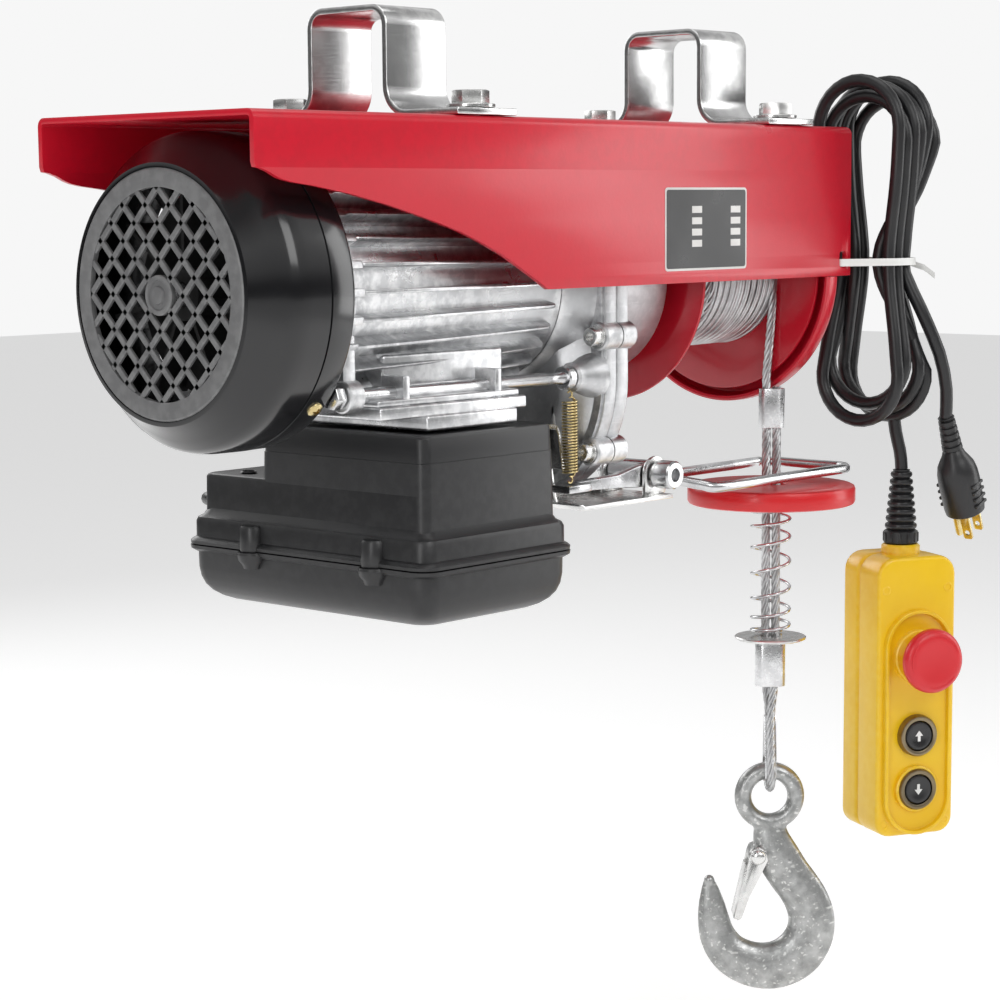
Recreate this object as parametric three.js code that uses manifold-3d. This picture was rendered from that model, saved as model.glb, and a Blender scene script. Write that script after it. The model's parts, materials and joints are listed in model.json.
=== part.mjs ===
// Small electric wire-rope hoist that hangs from a beam by two U-brackets.
// Millimetres. +Z is up, +X runs from the motor fan to the rope drum, -Y is the side with the rope.
// The origin is the centre of the frame plate's upper face, where the beam seats.
import * as THREE from "three";
import { mergeVertices } from "three/addons/utils/BufferGeometryUtils.js";
import Module from "manifold-3d";

const wasm = await Module();
wasm.setup();

// ---------------------------------------------------------------- driving dimensions

const GAP = 0.3; // clearance between pieces that touch
const SIDES = 20; // sides of a large round piece
const SMALL_SIDES = 10; // sides of a small round piece

// frame: a sheet-steel channel, open downwards
const FRAME_LENGTH = 480;
const FRAME_WIDTH = 158;
const FRAME_SHEET = 3;
const LIP_DEPTH = 88; // over the drum
const LIP_END_DEPTH = 20; // at the fan end
const LIP_SLOPE = [
  [11, 29],
  [18, 32.5],
  [36, 35],
  [85, 44],
  [122, 53],
  [151, 62.5],
  [182, 76.5],
]; // lower edge of the lips: distance from the fan end, depth
const LIP_FULL_FROM = 203; // where the lips reach their full depth
const TIE_SLOT = { inset: 4, width: 8, height: 10, above: 5 }; // slot for a cable tie in each lip

// drive line
const AXIS_DROP = 86.2; // common axis of motor and drum below the frame's top
const FAN_OFFSET = 8; // grille face from the frame's fan end
const COWL_LENGTH = 56;
const COWL_RADIUS = 78.5;
const COWL_MOUTH = 62; // radius at the grille
const COWL_CONE = 16.5; // length of the conical shoulder
const COWL_WALL = 2.5;
const GRILLE_THICK = 3;
const GRILLE_BAR = 3.6;
const GRILLE_PITCH = 24;
const END_SHIELD_LENGTH = 17;
const END_SHIELD_RADIUS = 66;
const HOUSING_LENGTH = 162;
const HOUSING_RADIUS = 57; // root of the fins
const FIN_HEIGHT = 9.5;
const FIN_THICK = 2.2;
const FIN_COUNT = 24;
const HOUSING_TAPER = 0.885; // radius at the gear end over radius at the fan end
const STATOR_BORE = 33;
const STATOR_RADIUS = 46;
const AIR_GAP = 1.5;
const SHAFT_RADIUS = 6;
const BEARING_RADIUS = 14;
const BEARING_WIDTH = 9;

// reduction gears: two stages between the axis and a layshaft under it
const LAYSHAFT_DROP = 54;
const PINION_TEETH = 12;
const STAGE_1 = { module: 1.5, wheel: 60, width: 8 };
const STAGE_2 = { module: 1.5, wheel: 60, width: 11 };
const LAYSHAFT_RADIUS = 5;

// gear case: two castings that meet at a seam
const BELL_LENGTH = 28;
const CASE_RADIUS = 68;
const CASE_FLANGE = 9;
const CASE_WALL = 4;
const COVER_RADIUS = 56;
const COVER_LENGTH = 61;
const CASE_SCREW = { radius: 2.9, head: 5, headLength: 6, length: 26 };
const CASE_BOSS = 8;
const CASE_SCREW_PLACES = [
  [65, 29],
  [58.5, 92],
]; // distance from the axis plane, drop below the axis

// tie rods along the motor
const TIE_ROD_RADIUS = 3.6;
const TIE_ROD_EAR = 8.1; // radius of the casting round the rod
const TIE_ROD_SPREAD = 58;
const TIE_ROD_DROP = 50.5;

// drum
const DRUM_GAP = 12; // gear cover to drum flange
const DRUM_FLANGE = 2.6;
const DRUM_FLANGE_RADIUS = 71.5;
const DRUM_CORE_RADIUS = 38;
const DRUM_SHAFT_RADIUS = 10;
const ROPE_DIAMETER = 5.5;
const SHIELD_INSET = 11; // shield face from the frame's drum end
const SHIELD_DEPTH = 12;
const SHIELD_RADIUS = 79.5;
const SHIELD_SHEET = 3;
const SHIELD_TAB = 72; // half width of its upper edge
const DRUM_TO_SHIELD = 9.8; // drum flange to the shield's inner face
const SHIELD_HUB = { radius: 24, length: 9 };

// beam brackets and their bolts
const BRACKET_WIDTH = 44;
const BRACKET_SHEET = 3.5;
const BRACKET_SPAN = 58;
const BRACKET_HEIGHT = 57;
const BRACKET_BEND = 10;
const BRACKET_FLARE = 14;
const BRACKET_FOOT = 78; // foot end from the middle
const BRACKET_PLACES = { motor_end_bracket: 159, drum_end_bracket: 420 };
const BOLT = { radius: 5, head: 9.4, headHeight: 7, washer: 12.5, washerHeight: 1.8, spread: 66 };

// control box under the motor
const BOX_X = [-128, -26];
const BOX_Y = [-75, 92];
const BOX_STEP_Y = 46;
const BOX_TOP = 157;
const BOX_STEP_TOP = 186;
const BOX_RIM_TOP = 210;
const BOX_RIM_GROW = 5;
const BOX_SEAM = 225;
const BOX_BOTTOM = 257;
const BOX_WALL = 2.6;
const BOX_LIP = 3;
const PAD_X = [-150, -42];
const PAD_Y = [-68, 60];
const PAD_TOP = 143;
const PAD_STEP = 149;
const CAPACITOR = { radius: 20, length: 76 };

// limit switch and its arm
const PIVOT_X = 84;
const PIVOT_DROP = 196;
const PIVOT_Y = [-53, -22];
const PIVOT_RADIUS = 4;
const ARM_ROD_RADIUS = 3.2;
const ARM_DROP = 206;
const ARM_NEAR_Y = -70;
const ARM_FAR_Y = -4;
const ARM_PAST_ROPE = 45;
const LIMIT_PLATE = 2.5;
const LIMIT_PLATE_TOP_X = 1;
const LIMIT_PLATE_FOOT_X = 12;
const LIMIT_SPRING = { radius: 4, wire: 1.6, x: 4, y: -58, top: 146, bottom: 192, turns: 7 };
const SWITCH_SIZE = [16, 28, 22];

// load line
const ROPE_LINE = [213.1, -41.05]; // x, y of the hanging line
const STRAND_OFFSET = 3.1;
const UPPER_FERRULE = { top: 156, length: 24, wall: 2.2 };
const WEIGHT = { top: 214, thick: 12, radius: 51, bore: 9 };
const BUFFER = { radius: 12.6, wire: 2, turns: 7 };
const WASHER = { top: 308, thick: 2, radius: 22 };
const LOWER_FERRULE = { length: 29, wall: 3.6 };
const EYE_DROP = 409;
const EYE_RADIUS = 21.6;
const EYE_BORE = 11.2;
const EYE_HALF = 5.5; // half the eye ring's depth
const HOOK_THICK = 17;
const LOOP_BEND = 10.9;
const LINE_YAW = -48; // the hook's flat side faces the near fan-end corner

// hook, measured from the middle of its eye
const HOOK_BOWL = { x: -5.8, z: -76, radius: 17.7 };
const HOOK_BACK = { x: -1.2, z: -80.7, radius: 42.8 };
const LATCH_PIVOT = [-7.5, -36.6];
const LATCH_RIVET = 2.5;
const LATCH_TIP = [-17, -78];

// pendant control
const PENDANT = { x: 297, y: -78, yaw: -28, top: 262, height: 176, width: 54, front: 26, back: 21 };
const STOP_BUTTON = { down: 62, radius: 20, stem: 11, height: 22 };
const KEY_BUTTON = { radius: 9.2, ring: 12.5, travel: 3 };
const KEY_DOWN = { up_button: 112, down_button: 146 };
const PENDANT_WALL = 2.5;
const SLEEVE = { length: 54, top: 6.6, foot: 10.6 };

// cords
const CORD_DIAMETER = 8;
const HANK = { x: [247, 295], y: -75, width: 64, top: 32, bottom: -181, corner: 32 };
const CORD_SIDES = 8;
const POWER_EXIT = [-95, -205];
const PENDANT_EXIT = [-60, -205];
const GLAND = { radius: 8.5, length: 14 };
// Routes from the glands, past the tie at the far lip, round the drum end and into the hank.
const POWER_ROUTE = [
  [-95, 107, -205],
  [-95, 122, -206],
  [-82, 132, -211],
  [-50, 128, -217],
  [0, 118, -214],
  [55, 108, -196],
  [110, 100, -168],
  [165, 94, -132],
  [204, 87, -106],
  [224, 84.2, -89],
  [232, 84.2, -88.6],
  [250, 82, -90],
  [260, 64, -95],
  [263, 40, -100],
  [264, 14, -103],
  [262, -14, -103],
  [259, -34, -99],
  [258, -41.4, -97],
];
const PENDANT_ROUTE = [
  [-60, 107, -205],
  [-60, 116, -205],
  [-50, 122, -205],
  [-30, 118, -205],
  [10, 108, -200],
  [60, 99, -181],
  [112, 92, -153],
  [165, 87, -117],
  [203, 86, -91],
  [224, 84.2, -80.2],
  [232, 84.2, -79.8],
  [252, 85, -79],
  [266, 66, -80],
  [272, 38, -86],
  [273, 12, -92],
  [271, -14, -93],
  [269, -34, -90],
  [268, -41.4, -88],
];
// The pendant's drop, from the foot of the hank to its sleeve.
const DROP_ROUTE = [
  [289.4, -79, -182.6],
  [291.5, -80, -190],
  [294, -81.2, -199],
  [295.1, -81.5, -209.2],
];
// The plug hangs beside the hank with its prongs down.
const PLUG = { x: 303, y: -108, z: -176, lean: 22, relief: 26, body: 40, radius: 13, prong: 16 };
const TIE = { width: 4.6, thick: 1.6 };

// ---------------------------------------------------------------- helpers

const rad = THREE.MathUtils.degToRad;
const left = -FRAME_LENGTH / 2;
const right = FRAME_LENGTH / 2;

const steel = { color: 0xb9bcc0, roughness: 0.35, metalness: 0.9 };
const zinc = { color: 0xc6c8ca, roughness: 0.3, metalness: 0.9 };
const castAluminium = { color: 0xb3b5b8, roughness: 0.45, metalness: 0.85 };
const redPaint = { color: 0xc8102a, roughness: 0.4, metalness: 0.1 };
const blackPlastic = { color: 0x1c1c1e, roughness: 0.5, metalness: 0.0 };
const greyPlastic = { color: 0x4a4b4e, roughness: 0.5, metalness: 0.0 };
const yellowPlastic = { color: 0xf2c91b, roughness: 0.45, metalness: 0.0 };
const copper = { color: 0x9c5a2b, roughness: 0.4, metalness: 0.7 };
const brass = { color: 0xb59a4c, roughness: 0.35, metalness: 0.9 };
const blackRubber = { color: 0x121212, roughness: 0.6, metalness: 0.0 };
const whitePlastic = { color: 0xdedede, roughness: 0.5, metalness: 0.0 };
const forgedSteel = { color: 0xa9acae, roughness: 0.45, metalness: 0.85 };

// A closed three.js geometry as a manifold solid with its faces pointing out.
function solid(geometry) {
  const bare = geometry.index ? geometry.toNonIndexed() : geometry.clone();
  for (const name of Object.keys(bare.attributes)) {
    if (name !== "position") bare.deleteAttribute(name);
  }
  const merged = mergeVertices(bare, 1e-3);
  const corners = new Uint32Array(merged.index.array);
  const mesh = () =>
    new wasm.Mesh({ numProp: 3, vertProperties: merged.attributes.position.array, triVerts: corners });
  const made = new wasm.Manifold(mesh());
  if (made.volume() > 0) return made;
  for (let i = 0; i < corners.length; i += 3) {
    [corners[i + 1], corners[i + 2]] = [corners[i + 2], corners[i + 1]];
  }
  return new wasm.Manifold(mesh());
}

const join = (first, ...rest) => rest.reduce((sum, next) => sum.add(next), first);
const cut = (first, ...rest) => rest.reduce((sum, next) => sum.subtract(next), first);

function piece(name, finish, made) {
  const out = made.getMesh();
  const geometry = new THREE.BufferGeometry();
  geometry.setAttribute("position", new THREE.BufferAttribute(new Float32Array(out.vertProperties), 3));
  geometry.setIndex(new THREE.BufferAttribute(new Uint32Array(out.triVerts), 1));
  geometry.computeVertexNormals();
  const mesh = new THREE.Mesh(geometry, new THREE.MeshStandardMaterial(finish));
  mesh.name = name;
  return mesh;
}

function box(x0, x1, y0, y1, z0, z1) {
  const block = new THREE.BoxGeometry(x1 - x0, y1 - y0, z1 - z0);
  block.translate((x0 + x1) / 2, (y0 + y1) / 2, (z0 + z1) / 2);
  return solid(block);
}

// A round piece about the X axis from [x, radius] points; the profile closes on the axis or on itself.
function turned(points, sides = SIDES, closed = false) {
  const profile = points.map(([x, r]) => new THREE.Vector2(r, x));
  if (closed) profile.push(profile[0].clone());
  const lathe = new THREE.LatheGeometry(profile, sides);
  lathe.rotateZ(-Math.PI / 2);
  return solid(lathe);
}

// A round bar or disc along X, at y, z.
function barX(x0, x1, radius, y = 0, z = 0, sides = SIDES) {
  const bar = new THREE.CylinderGeometry(radius, radius, x1 - x0, sides);
  bar.rotateZ(-Math.PI / 2);
  bar.translate((x0 + x1) / 2, y, z);
  return solid(bar);
}

function barY(y0, y1, radius, x = 0, z = 0, sides = SMALL_SIDES) {
  const bar = new THREE.CylinderGeometry(radius, radius, y1 - y0, sides);
  bar.translate(x, (y0 + y1) / 2, z);
  return solid(bar);
}

function barZ(z0, z1, radius, x = 0, y = 0, sides = SMALL_SIDES, topRadius = radius) {
  const bar = new THREE.CylinderGeometry(topRadius, radius, z1 - z0, sides);
  bar.rotateX(Math.PI / 2);
  bar.translate(x, y, (z0 + z1) / 2);
  return solid(bar);
}

const outline = (points) => new THREE.Shape(points.map(([a, b]) => new THREE.Vector2(a, b)));

// A flat outline in the plane across X (first coordinate y, second z), x0 to x1.
function slabX(shape, x0, x1, curveSegments = 12) {
  const slab = new THREE.ExtrudeGeometry(shape, { depth: x1 - x0, bevelEnabled: false, curveSegments });
  slab.applyMatrix4(new THREE.Matrix4().set(0, 0, 1, x0, 1, 0, 0, 0, 0, 1, 0, 0, 0, 0, 0, 1));
  return solid(slab);
}

// A flat outline in the plane across Y (first coordinate x, second z), y0 to y1.
function slabY(shape, y0, y1, curveSegments = 12) {
  const slab = new THREE.ExtrudeGeometry(shape, { depth: y1 - y0, bevelEnabled: false, curveSegments });
  slab.rotateX(Math.PI / 2);
  slab.translate(0, y1, 0);
  return solid(slab);
}

// A flat outline in the XY plane, z0 to z1.
function slabZ(shape, z0, z1, curveSegments = 12) {
  const slab = new THREE.ExtrudeGeometry(shape, { depth: z1 - z0, bevelEnabled: false, curveSegments });
  slab.translate(0, 0, z0);
  return solid(slab);
}

// A rounded rectangle centred at cx, cy.
function roundedRectangle(cx, cy, width, height, radius) {
  const [x0, x1, y0, y1] = [cx - width / 2, cx + width / 2, cy - height / 2, cy + height / 2];
  const shape = new THREE.Shape();
  shape.moveTo(x0 + radius, y0);
  shape.lineTo(x1 - radius, y0);
  shape.absarc(x1 - radius, y0 + radius, radius, -Math.PI / 2, 0);
  shape.lineTo(x1, y1 - radius);
  shape.absarc(x1 - radius, y1 - radius, radius, 0, Math.PI / 2);
  shape.lineTo(x0 + radius, y1);
  shape.absarc(x0 + radius, y1 - radius, radius, Math.PI / 2, Math.PI);
  shape.lineTo(x0, y0 + radius);
  shape.absarc(x0 + radius, y0 + radius, radius, Math.PI, Math.PI * 1.5);
  return shape;
}

// A round section swept along a smooth curve through points.
function swept(points, radius, sides = CORD_SIDES, steps = points.length * 2) {
  const curve = new THREE.CatmullRomCurve3(points.map((p) => new THREE.Vector3(...p)), false, "centripetal");
  const ring = Array.from({ length: sides }, (_, i) => {
    const angle = (2 * Math.PI * i) / sides;
    return [radius * Math.cos(angle), radius * Math.sin(angle)];
  });
  const shape = outline(ring);
  return solid(new THREE.ExtrudeGeometry(shape, { steps, bevelEnabled: false, extrudePath: curve }));
}

// A strip of sheet: the outline of a line of points given a thickness.
function strip(points, thick) {
  const side = (sign) =>
    points.map(([x, y], i) => {
      const [x0, y0] = points[Math.max(i - 1, 0)];
      const [x1, y1] = points[Math.min(i + 1, points.length - 1)];
      const length = Math.hypot(x1 - x0, y1 - y0);
      return [x - (sign * thick * (y1 - y0)) / (2 * length), y + (sign * thick * (x1 - x0)) / (2 * length)];
    });
  return outline([...side(1), ...side(-1).reverse()]);
}

function arcPoints(cx, cy, radius, from, to, steps) {
  return Array.from({ length: steps + 1 }, (_, i) => {
    const angle = rad(from + ((to - from) * i) / steps);
    return [cx + radius * Math.cos(angle), cy + radius * Math.sin(angle)];
  });
}

function helix(radius, wire, turns, length, sides = 4, stepsPerTurn = 9) {
  const points = [];
  const count = turns * stepsPerTurn;
  for (let i = 0; i <= count; i += 1) {
    const angle = (2 * Math.PI * i) / stepsPerTurn;
    points.push([radius * Math.cos(angle), radius * Math.sin(angle), (length * i) / count]);
  }
  return swept(points, wire / 2, sides, count);
}

// ---------------------------------------------------------------- frame

const lipInner = FRAME_WIDTH / 2 - FRAME_SHEET;
const slotX = right - TIE_SLOT.inset - TIE_SLOT.width / 2;
const slotZ = -LIP_DEPTH + TIE_SLOT.above + TIE_SLOT.height / 2;
const bracketX = (place) => left + place;

function frameChannel() {
  const edge = [
    [left, 0],
    [left, -LIP_END_DEPTH],
    ...LIP_SLOPE.map(([along, depth]) => [left + along, -depth]),
    [left + LIP_FULL_FROM, -LIP_DEPTH],
    [right, -LIP_DEPTH],
    [right, 0],
  ];
  const blank = slabY(outline(edge), -FRAME_WIDTH / 2, FRAME_WIDTH / 2);
  const inside = box(left - 1, right + 1, -lipInner, lipInner, -LIP_DEPTH - 1, -FRAME_SHEET);
  const slots = box(
    slotX - TIE_SLOT.width / 2,
    slotX + TIE_SLOT.width / 2,
    -FRAME_WIDTH,
    FRAME_WIDTH,
    slotZ - TIE_SLOT.height / 2,
    slotZ + TIE_SLOT.height / 2,
  );
  const holes = Object.values(BRACKET_PLACES).flatMap((place) =>
    [-1, 1].map((side) =>
      barZ(-FRAME_SHEET - 1, 1, BOLT.radius + GAP, bracketX(place), side * BOLT.spread),
    ),
  );
  return piece("frame_channel", redPaint, cut(blank, inside, slots, ...holes));
}

function beamBracket(name) {
  const mid = BRACKET_SHEET / 2;
  const legY = BRACKET_SPAN / 2 - mid;
  const topZ = BRACKET_HEIGHT - mid;
  const half = [
    [0, topZ],
    ...arcPoints(legY - BRACKET_BEND, topZ - BRACKET_BEND, BRACKET_BEND, 90, 0, 4),
    ...arcPoints(legY + BRACKET_FLARE, mid + GAP + BRACKET_FLARE, BRACKET_FLARE, 180, 270, 4),
    [BRACKET_FOOT, mid + GAP],
  ];
  const line = [...half.slice(1).reverse().map(([y, z]) => [-y, z]), ...half];
  const sheet = slabX(strip(line, BRACKET_SHEET), -BRACKET_WIDTH / 2, BRACKET_WIDTH / 2);
  const holes = [-1, 1].map((side) => barZ(-1, BRACKET_SHEET + 2, BOLT.radius + GAP, 0, side * BOLT.spread));
  const mesh = piece(name, zinc, cut(sheet, ...holes));
  mesh.position.x = bracketX(BRACKET_PLACES[name]);
  return mesh;
}

function bracketBolt(name, x, y) {
  const seat = BRACKET_SHEET + 2 * GAP;
  const under = -FRAME_SHEET - GAP;
  const made = join(
    barZ(under - 12, seat + 1, BOLT.radius),
    barZ(seat, seat + BOLT.washerHeight, BOLT.washer),
    barZ(seat + BOLT.washerHeight, seat + BOLT.washerHeight + BOLT.headHeight, BOLT.head, 0, 0, 6),
    barZ(under - 8, under, BOLT.head, 0, 0, 6),
  );
  const mesh = piece(name, zinc, made);
  mesh.position.set(x, y, 0);
  return mesh;
}

function frameGroup() {
  const group = new THREE.Group();
  group.add(frameChannel());
  let number = 1;
  for (const [name, place] of Object.entries(BRACKET_PLACES)) {
    group.add(beamBracket(name));
    for (const side of [-1, 1]) {
      group.add(bracketBolt(`bracket_bolt_${number}`, bracketX(place), side * BOLT.spread));
      number += 1;
    }
  }
  return group;
}

// ---------------------------------------------------------------- drive line, about the common axis

const grilleX = left + FAN_OFFSET;
const cowlEnd = grilleX + COWL_LENGTH;
const endShieldEnd = cowlEnd + GAP + END_SHIELD_LENGTH;
const housingStart = endShieldEnd + GAP;
const housingEnd = housingStart + HOUSING_LENGTH;
const bellStart = housingEnd + GAP;
const seam = bellStart + BELL_LENGTH;
const coverEnd = seam + GAP + COVER_LENGTH;
const bearingSeat = bellStart + 9;
const shieldFace = right - SHIELD_INSET;
const shieldInner = shieldFace - SHIELD_SHEET;
const drumStart = coverEnd + DRUM_GAP;
const drumEnd = shieldInner - DRUM_TO_SHIELD + DRUM_FLANGE;

function fanCowl() {
  const rim = COWL_MOUTH + 1;
  const shell = turned(
    [
      [grilleX, rim - COWL_WALL],
      [grilleX, rim],
      [grilleX + COWL_CONE, COWL_RADIUS],
      [cowlEnd - 15, COWL_RADIUS],
      [cowlEnd - 14.6, COWL_RADIUS - 0.8],
      [cowlEnd - 14.2, COWL_RADIUS],
      [cowlEnd, COWL_RADIUS - 1],
      [cowlEnd, COWL_RADIUS - 1 - COWL_WALL],
      [grilleX + COWL_CONE, COWL_RADIUS - COWL_WALL - 0.5],
    ],
    28,
    true,
  );
  return piece("fan_cowl", blackPlastic, shell);
}

function fanGrille() {
  const radius = COWL_MOUTH + 1 - COWL_WALL - GAP;
  const rim = 4;
  const disc = barX(grilleX, grilleX + GRILLE_THICK, radius, 0, 0, 28);
  const reach = radius - rim;
  const inner = barX(grilleX - 1, grilleX + GRILLE_THICK + 1, reach, 0, 0, 28);
  const count = Math.ceil(reach / GRILLE_PITCH);
  const bars = [];
  for (const turn of [45, -45]) {
    for (let i = -count; i <= count; i += 1) {
      const bar = new THREE.BoxGeometry(GRILLE_THICK, 2 * radius, GRILLE_BAR);
      bar.translate(grilleX + GRILLE_THICK / 2, 0, i * GRILLE_PITCH);
      bar.rotateX(rad(turn));
      bars.push(solid(bar));
    }
  }
  const boss = barX(grilleX, grilleX + GRILLE_THICK, 9, 0, 0, SMALL_SIDES);
  const holes = cut(inner, ...bars, boss);
  return piece("fan_grille", greyPlastic, cut(disc, holes));
}

function tieRodBore(from, to, side) {
  return barX(from, to, TIE_ROD_RADIUS + GAP, side * TIE_ROD_SPREAD, -TIE_ROD_DROP, SMALL_SIDES);
}

function endShield() {
  const inner = END_SHIELD_RADIUS - 5;
  const start = cowlEnd + GAP;
  const body = turned(
    [
      [start, SHAFT_RADIUS + 4],
      [start, END_SHIELD_RADIUS],
      [endShieldEnd, END_SHIELD_RADIUS],
      [endShieldEnd, inner],
      [start + 5, inner - 2],
      [start + 5, BEARING_RADIUS + 5],
      [endShieldEnd - 3, BEARING_RADIUS + 5],
      [endShieldEnd - 3, BEARING_RADIUS + GAP],
      [endShieldEnd - 3 - BEARING_WIDTH - GAP, BEARING_RADIUS + GAP],
      [endShieldEnd - 3 - BEARING_WIDTH - GAP, SHAFT_RADIUS + 4],
    ],
    SIDES,
    true,
  );
  const lugReach = COWL_RADIUS - COWL_WALL - 1 - GAP - 0.5;
  const lugs = [45, 135, 225, 315].map((turn) => {
    const lug = new THREE.BoxGeometry(12, 12, lugReach - 56);
    lug.translate(start - 5.5, 0, (lugReach + 56) / 2);
    lug.rotateX(rad(turn));
    return solid(lug);
  });
  const ears = [-1, 1].map((side) =>
    join(
      barX(start + 8, endShieldEnd, TIE_ROD_EAR, side * TIE_ROD_SPREAD, -TIE_ROD_DROP, SMALL_SIDES),
      box(start + 8, endShieldEnd, side * TIE_ROD_SPREAD - 5, side * TIE_ROD_SPREAD + 5, -TIE_ROD_DROP, -20),
    ),
  );
  const bores = [-1, 1].map((side) =>
    tieRodBore(start - 1, endShieldEnd + 1, side),
  );
  const inside = barX(start + 5, endShieldEnd + 1, inner - 2);
  const hub = barX(start, endShieldEnd - 3, BEARING_RADIUS + 5);
  const trimmed = ears.map((ear) => cut(ear, cut(inside, hub)));
  return piece("motor_end_shield", castAluminium, cut(join(body, ...lugs, ...trimmed), ...bores));
}

function motorHousing() {
  const tip = HOUSING_RADIUS + FIN_HEIGHT;
  const points = [];
  const step = (2 * Math.PI) / FIN_COUNT;
  for (let i = 0; i < FIN_COUNT; i += 1) {
    const angle = i * step;
    const root = FIN_THICK / 2 / HOUSING_RADIUS;
    const top = (FIN_THICK * 0.75) / 2 / tip;
    points.push(
      [HOUSING_RADIUS * Math.cos(angle - root), HOUSING_RADIUS * Math.sin(angle - root)],
      [tip * Math.cos(angle - top), tip * Math.sin(angle - top)],
      [tip * Math.cos(angle + top), tip * Math.sin(angle + top)],
      [HOUSING_RADIUS * Math.cos(angle + root), HOUSING_RADIUS * Math.sin(angle + root)],
      [HOUSING_RADIUS * Math.cos(angle + step / 2), HOUSING_RADIUS * Math.sin(angle + step / 2)],
    );
  }
  const fins = new THREE.ExtrudeGeometry(outline(points), { depth: HOUSING_LENGTH, bevelEnabled: false });
  const place = fins.attributes.position;
  for (let i = 0; i < place.count; i += 1) {
    const scale = 1 - ((1 - HOUSING_TAPER) * place.getZ(i)) / HOUSING_LENGTH;
    place.setXY(i, place.getX(i) * scale, place.getY(i) * scale);
  }
  fins.applyMatrix4(new THREE.Matrix4().set(0, 0, 1, housingStart, 1, 0, 0, 0, 0, 1, 0, 0, 0, 0, 0, 1));
  const padTop = -PAD_TOP + AXIS_DROP;
  const padStep = -PAD_STEP + AXIS_DROP;
  const boxTop = -BOX_TOP + AXIS_DROP;
  const rodClear = TIE_ROD_SPREAD - TIE_ROD_RADIUS - 3;
  const pedestal = join(
    box(PAD_X[0] + 18, PAD_X[1], -rodClear, rodClear, padStep, -30),
    box(PAD_X[0], PAD_X[1], PAD_Y[0], PAD_Y[1], padStep, padTop),
    box(PAD_X[0] + 20, PAD_X[1] - 8, PAD_Y[0] - 2, PAD_Y[1] - 14, boxTop + GAP, padStep),
  );
  const bore = barX(housingStart - 1, housingEnd + 1, STATOR_RADIUS + GAP);
  return piece("motor_housing", castAluminium, cut(join(solid(fins), pedestal), bore));
}

const stackStart = () => housingStart + 26;
const stackEnd = () => housingEnd - 24;

function stator() {
  const core = barX(stackStart(), stackEnd(), STATOR_RADIUS);
  const ends = turned(
    [
      [stackStart() - 16, STATOR_BORE + 2],
      [stackStart() - 16, STATOR_RADIUS - 5],
      [stackStart(), STATOR_RADIUS - 2],
      [stackEnd(), STATOR_RADIUS - 2],
      [stackEnd() + 14, STATOR_RADIUS - 5],
      [stackEnd() + 14, STATOR_BORE + 2],
    ],
    SIDES,
    true,
  );
  const bore = barX(stackStart() - 20, stackEnd() + 20, STATOR_BORE);
  return piece("stator", copper, cut(join(core, ends), bore));
}

// A gear outline with involute flanks, centred on the axis, one tooth pointing at the angle given.
function gearOutline(module, teeth, pointAt, backlash = 0.16) {
  const pitch = (module * teeth) / 2;
  const pressure = rad(20);
  const base = pitch * Math.cos(pressure);
  const tip = pitch + 0.8 * module;
  const root = pitch - 1.05 * module;
  const involute = (radius) => Math.tan(Math.acos(base / radius)) - Math.acos(base / radius);
  const half = Math.PI / (2 * teeth) - (backlash * module) / pitch / 2;
  const flank = [0, 1].map((share) => {
    const from = Math.max(root, base);
    const radius = from + (tip - from) * share;
    return [radius, half + involute(pitch) - involute(radius)];
  });
  if (base > root) flank.unshift([root, flank[0][1]]);
  const points = [];
  for (let i = 0; i < teeth; i += 1) {
    const angle = pointAt + (2 * Math.PI * i) / teeth;
    for (const [radius, turn] of flank) {
      points.push([radius * Math.cos(angle - turn), radius * Math.sin(angle - turn)]);
    }
    for (const [radius, turn] of [...flank].reverse()) {
      points.push([radius * Math.cos(angle + turn), radius * Math.sin(angle + turn)]);
    }
  }
  return outline(points);
}

const stage1X = bearingSeat + 3;
const stage2X = stage1X + STAGE_1.width + 2.5;
const down = -Math.PI / 2;
const halfTooth = (teeth) => Math.PI / teeth;

function rotor() {
  const shaftStart = grilleX + 12;
  const shaftEnd = stage1X + STAGE_1.width;
  const shaft = join(
    barX(shaftStart, shaftEnd - 1, SHAFT_RADIUS, 0, 0, 20),
    barX(stackStart(), stackEnd(), STATOR_BORE - AIR_GAP),
    slabX(gearOutline(STAGE_1.module, PINION_TEETH, down), stage1X, shaftEnd, 4),
  );
  return piece("rotor", steel, shaft);
}

function coolingFan() {
  const start = grilleX + 14;
  const blades = Array.from({ length: 7 }, (_, i) => {
    const blade = new THREE.BoxGeometry(20, 2, 42);
    blade.translate(start + 12, 0, 33);
    blade.rotateX((2 * Math.PI * i) / 7);
    return solid(blade);
  });
  const hub = join(barX(start, start + 24, 13, 0, 0, 20), barX(start + 20, start + 23, 52, 0, 0, 24));
  const bore = barX(start - 1, start + 30, SHAFT_RADIUS + GAP, 0, 0, 20);
  return piece("cooling_fan", blackPlastic, cut(join(hub, ...blades), bore));
}

function ballBearing(name, start, width, outer, bore) {
  const ring = turned(
    [
      [start, bore],
      [start, outer],
      [start + width, outer],
      [start + width, bore],
    ],
    20,
    true,
  );
  return piece(name, steel, ring);
}

// Outline of the gear case across the axis: two circles joined by straight sides.
function caseOutline(radius) {
  const top = arcPoints(0, 0, radius, 0, 180, 12);
  const bottom = arcPoints(0, -LAYSHAFT_DROP, radius, 180, 360, 12);
  return outline([...top, ...bottom]);
}

const screwPlaces = [-1, 1].flatMap((side) => CASE_SCREW_PLACES.map(([y, drop]) => [side * y, -drop]));

function screwBars(from, to, radius) {
  return screwPlaces.map(([y, z]) => barX(from, to, radius, y, z, SMALL_SIDES));
}

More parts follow.
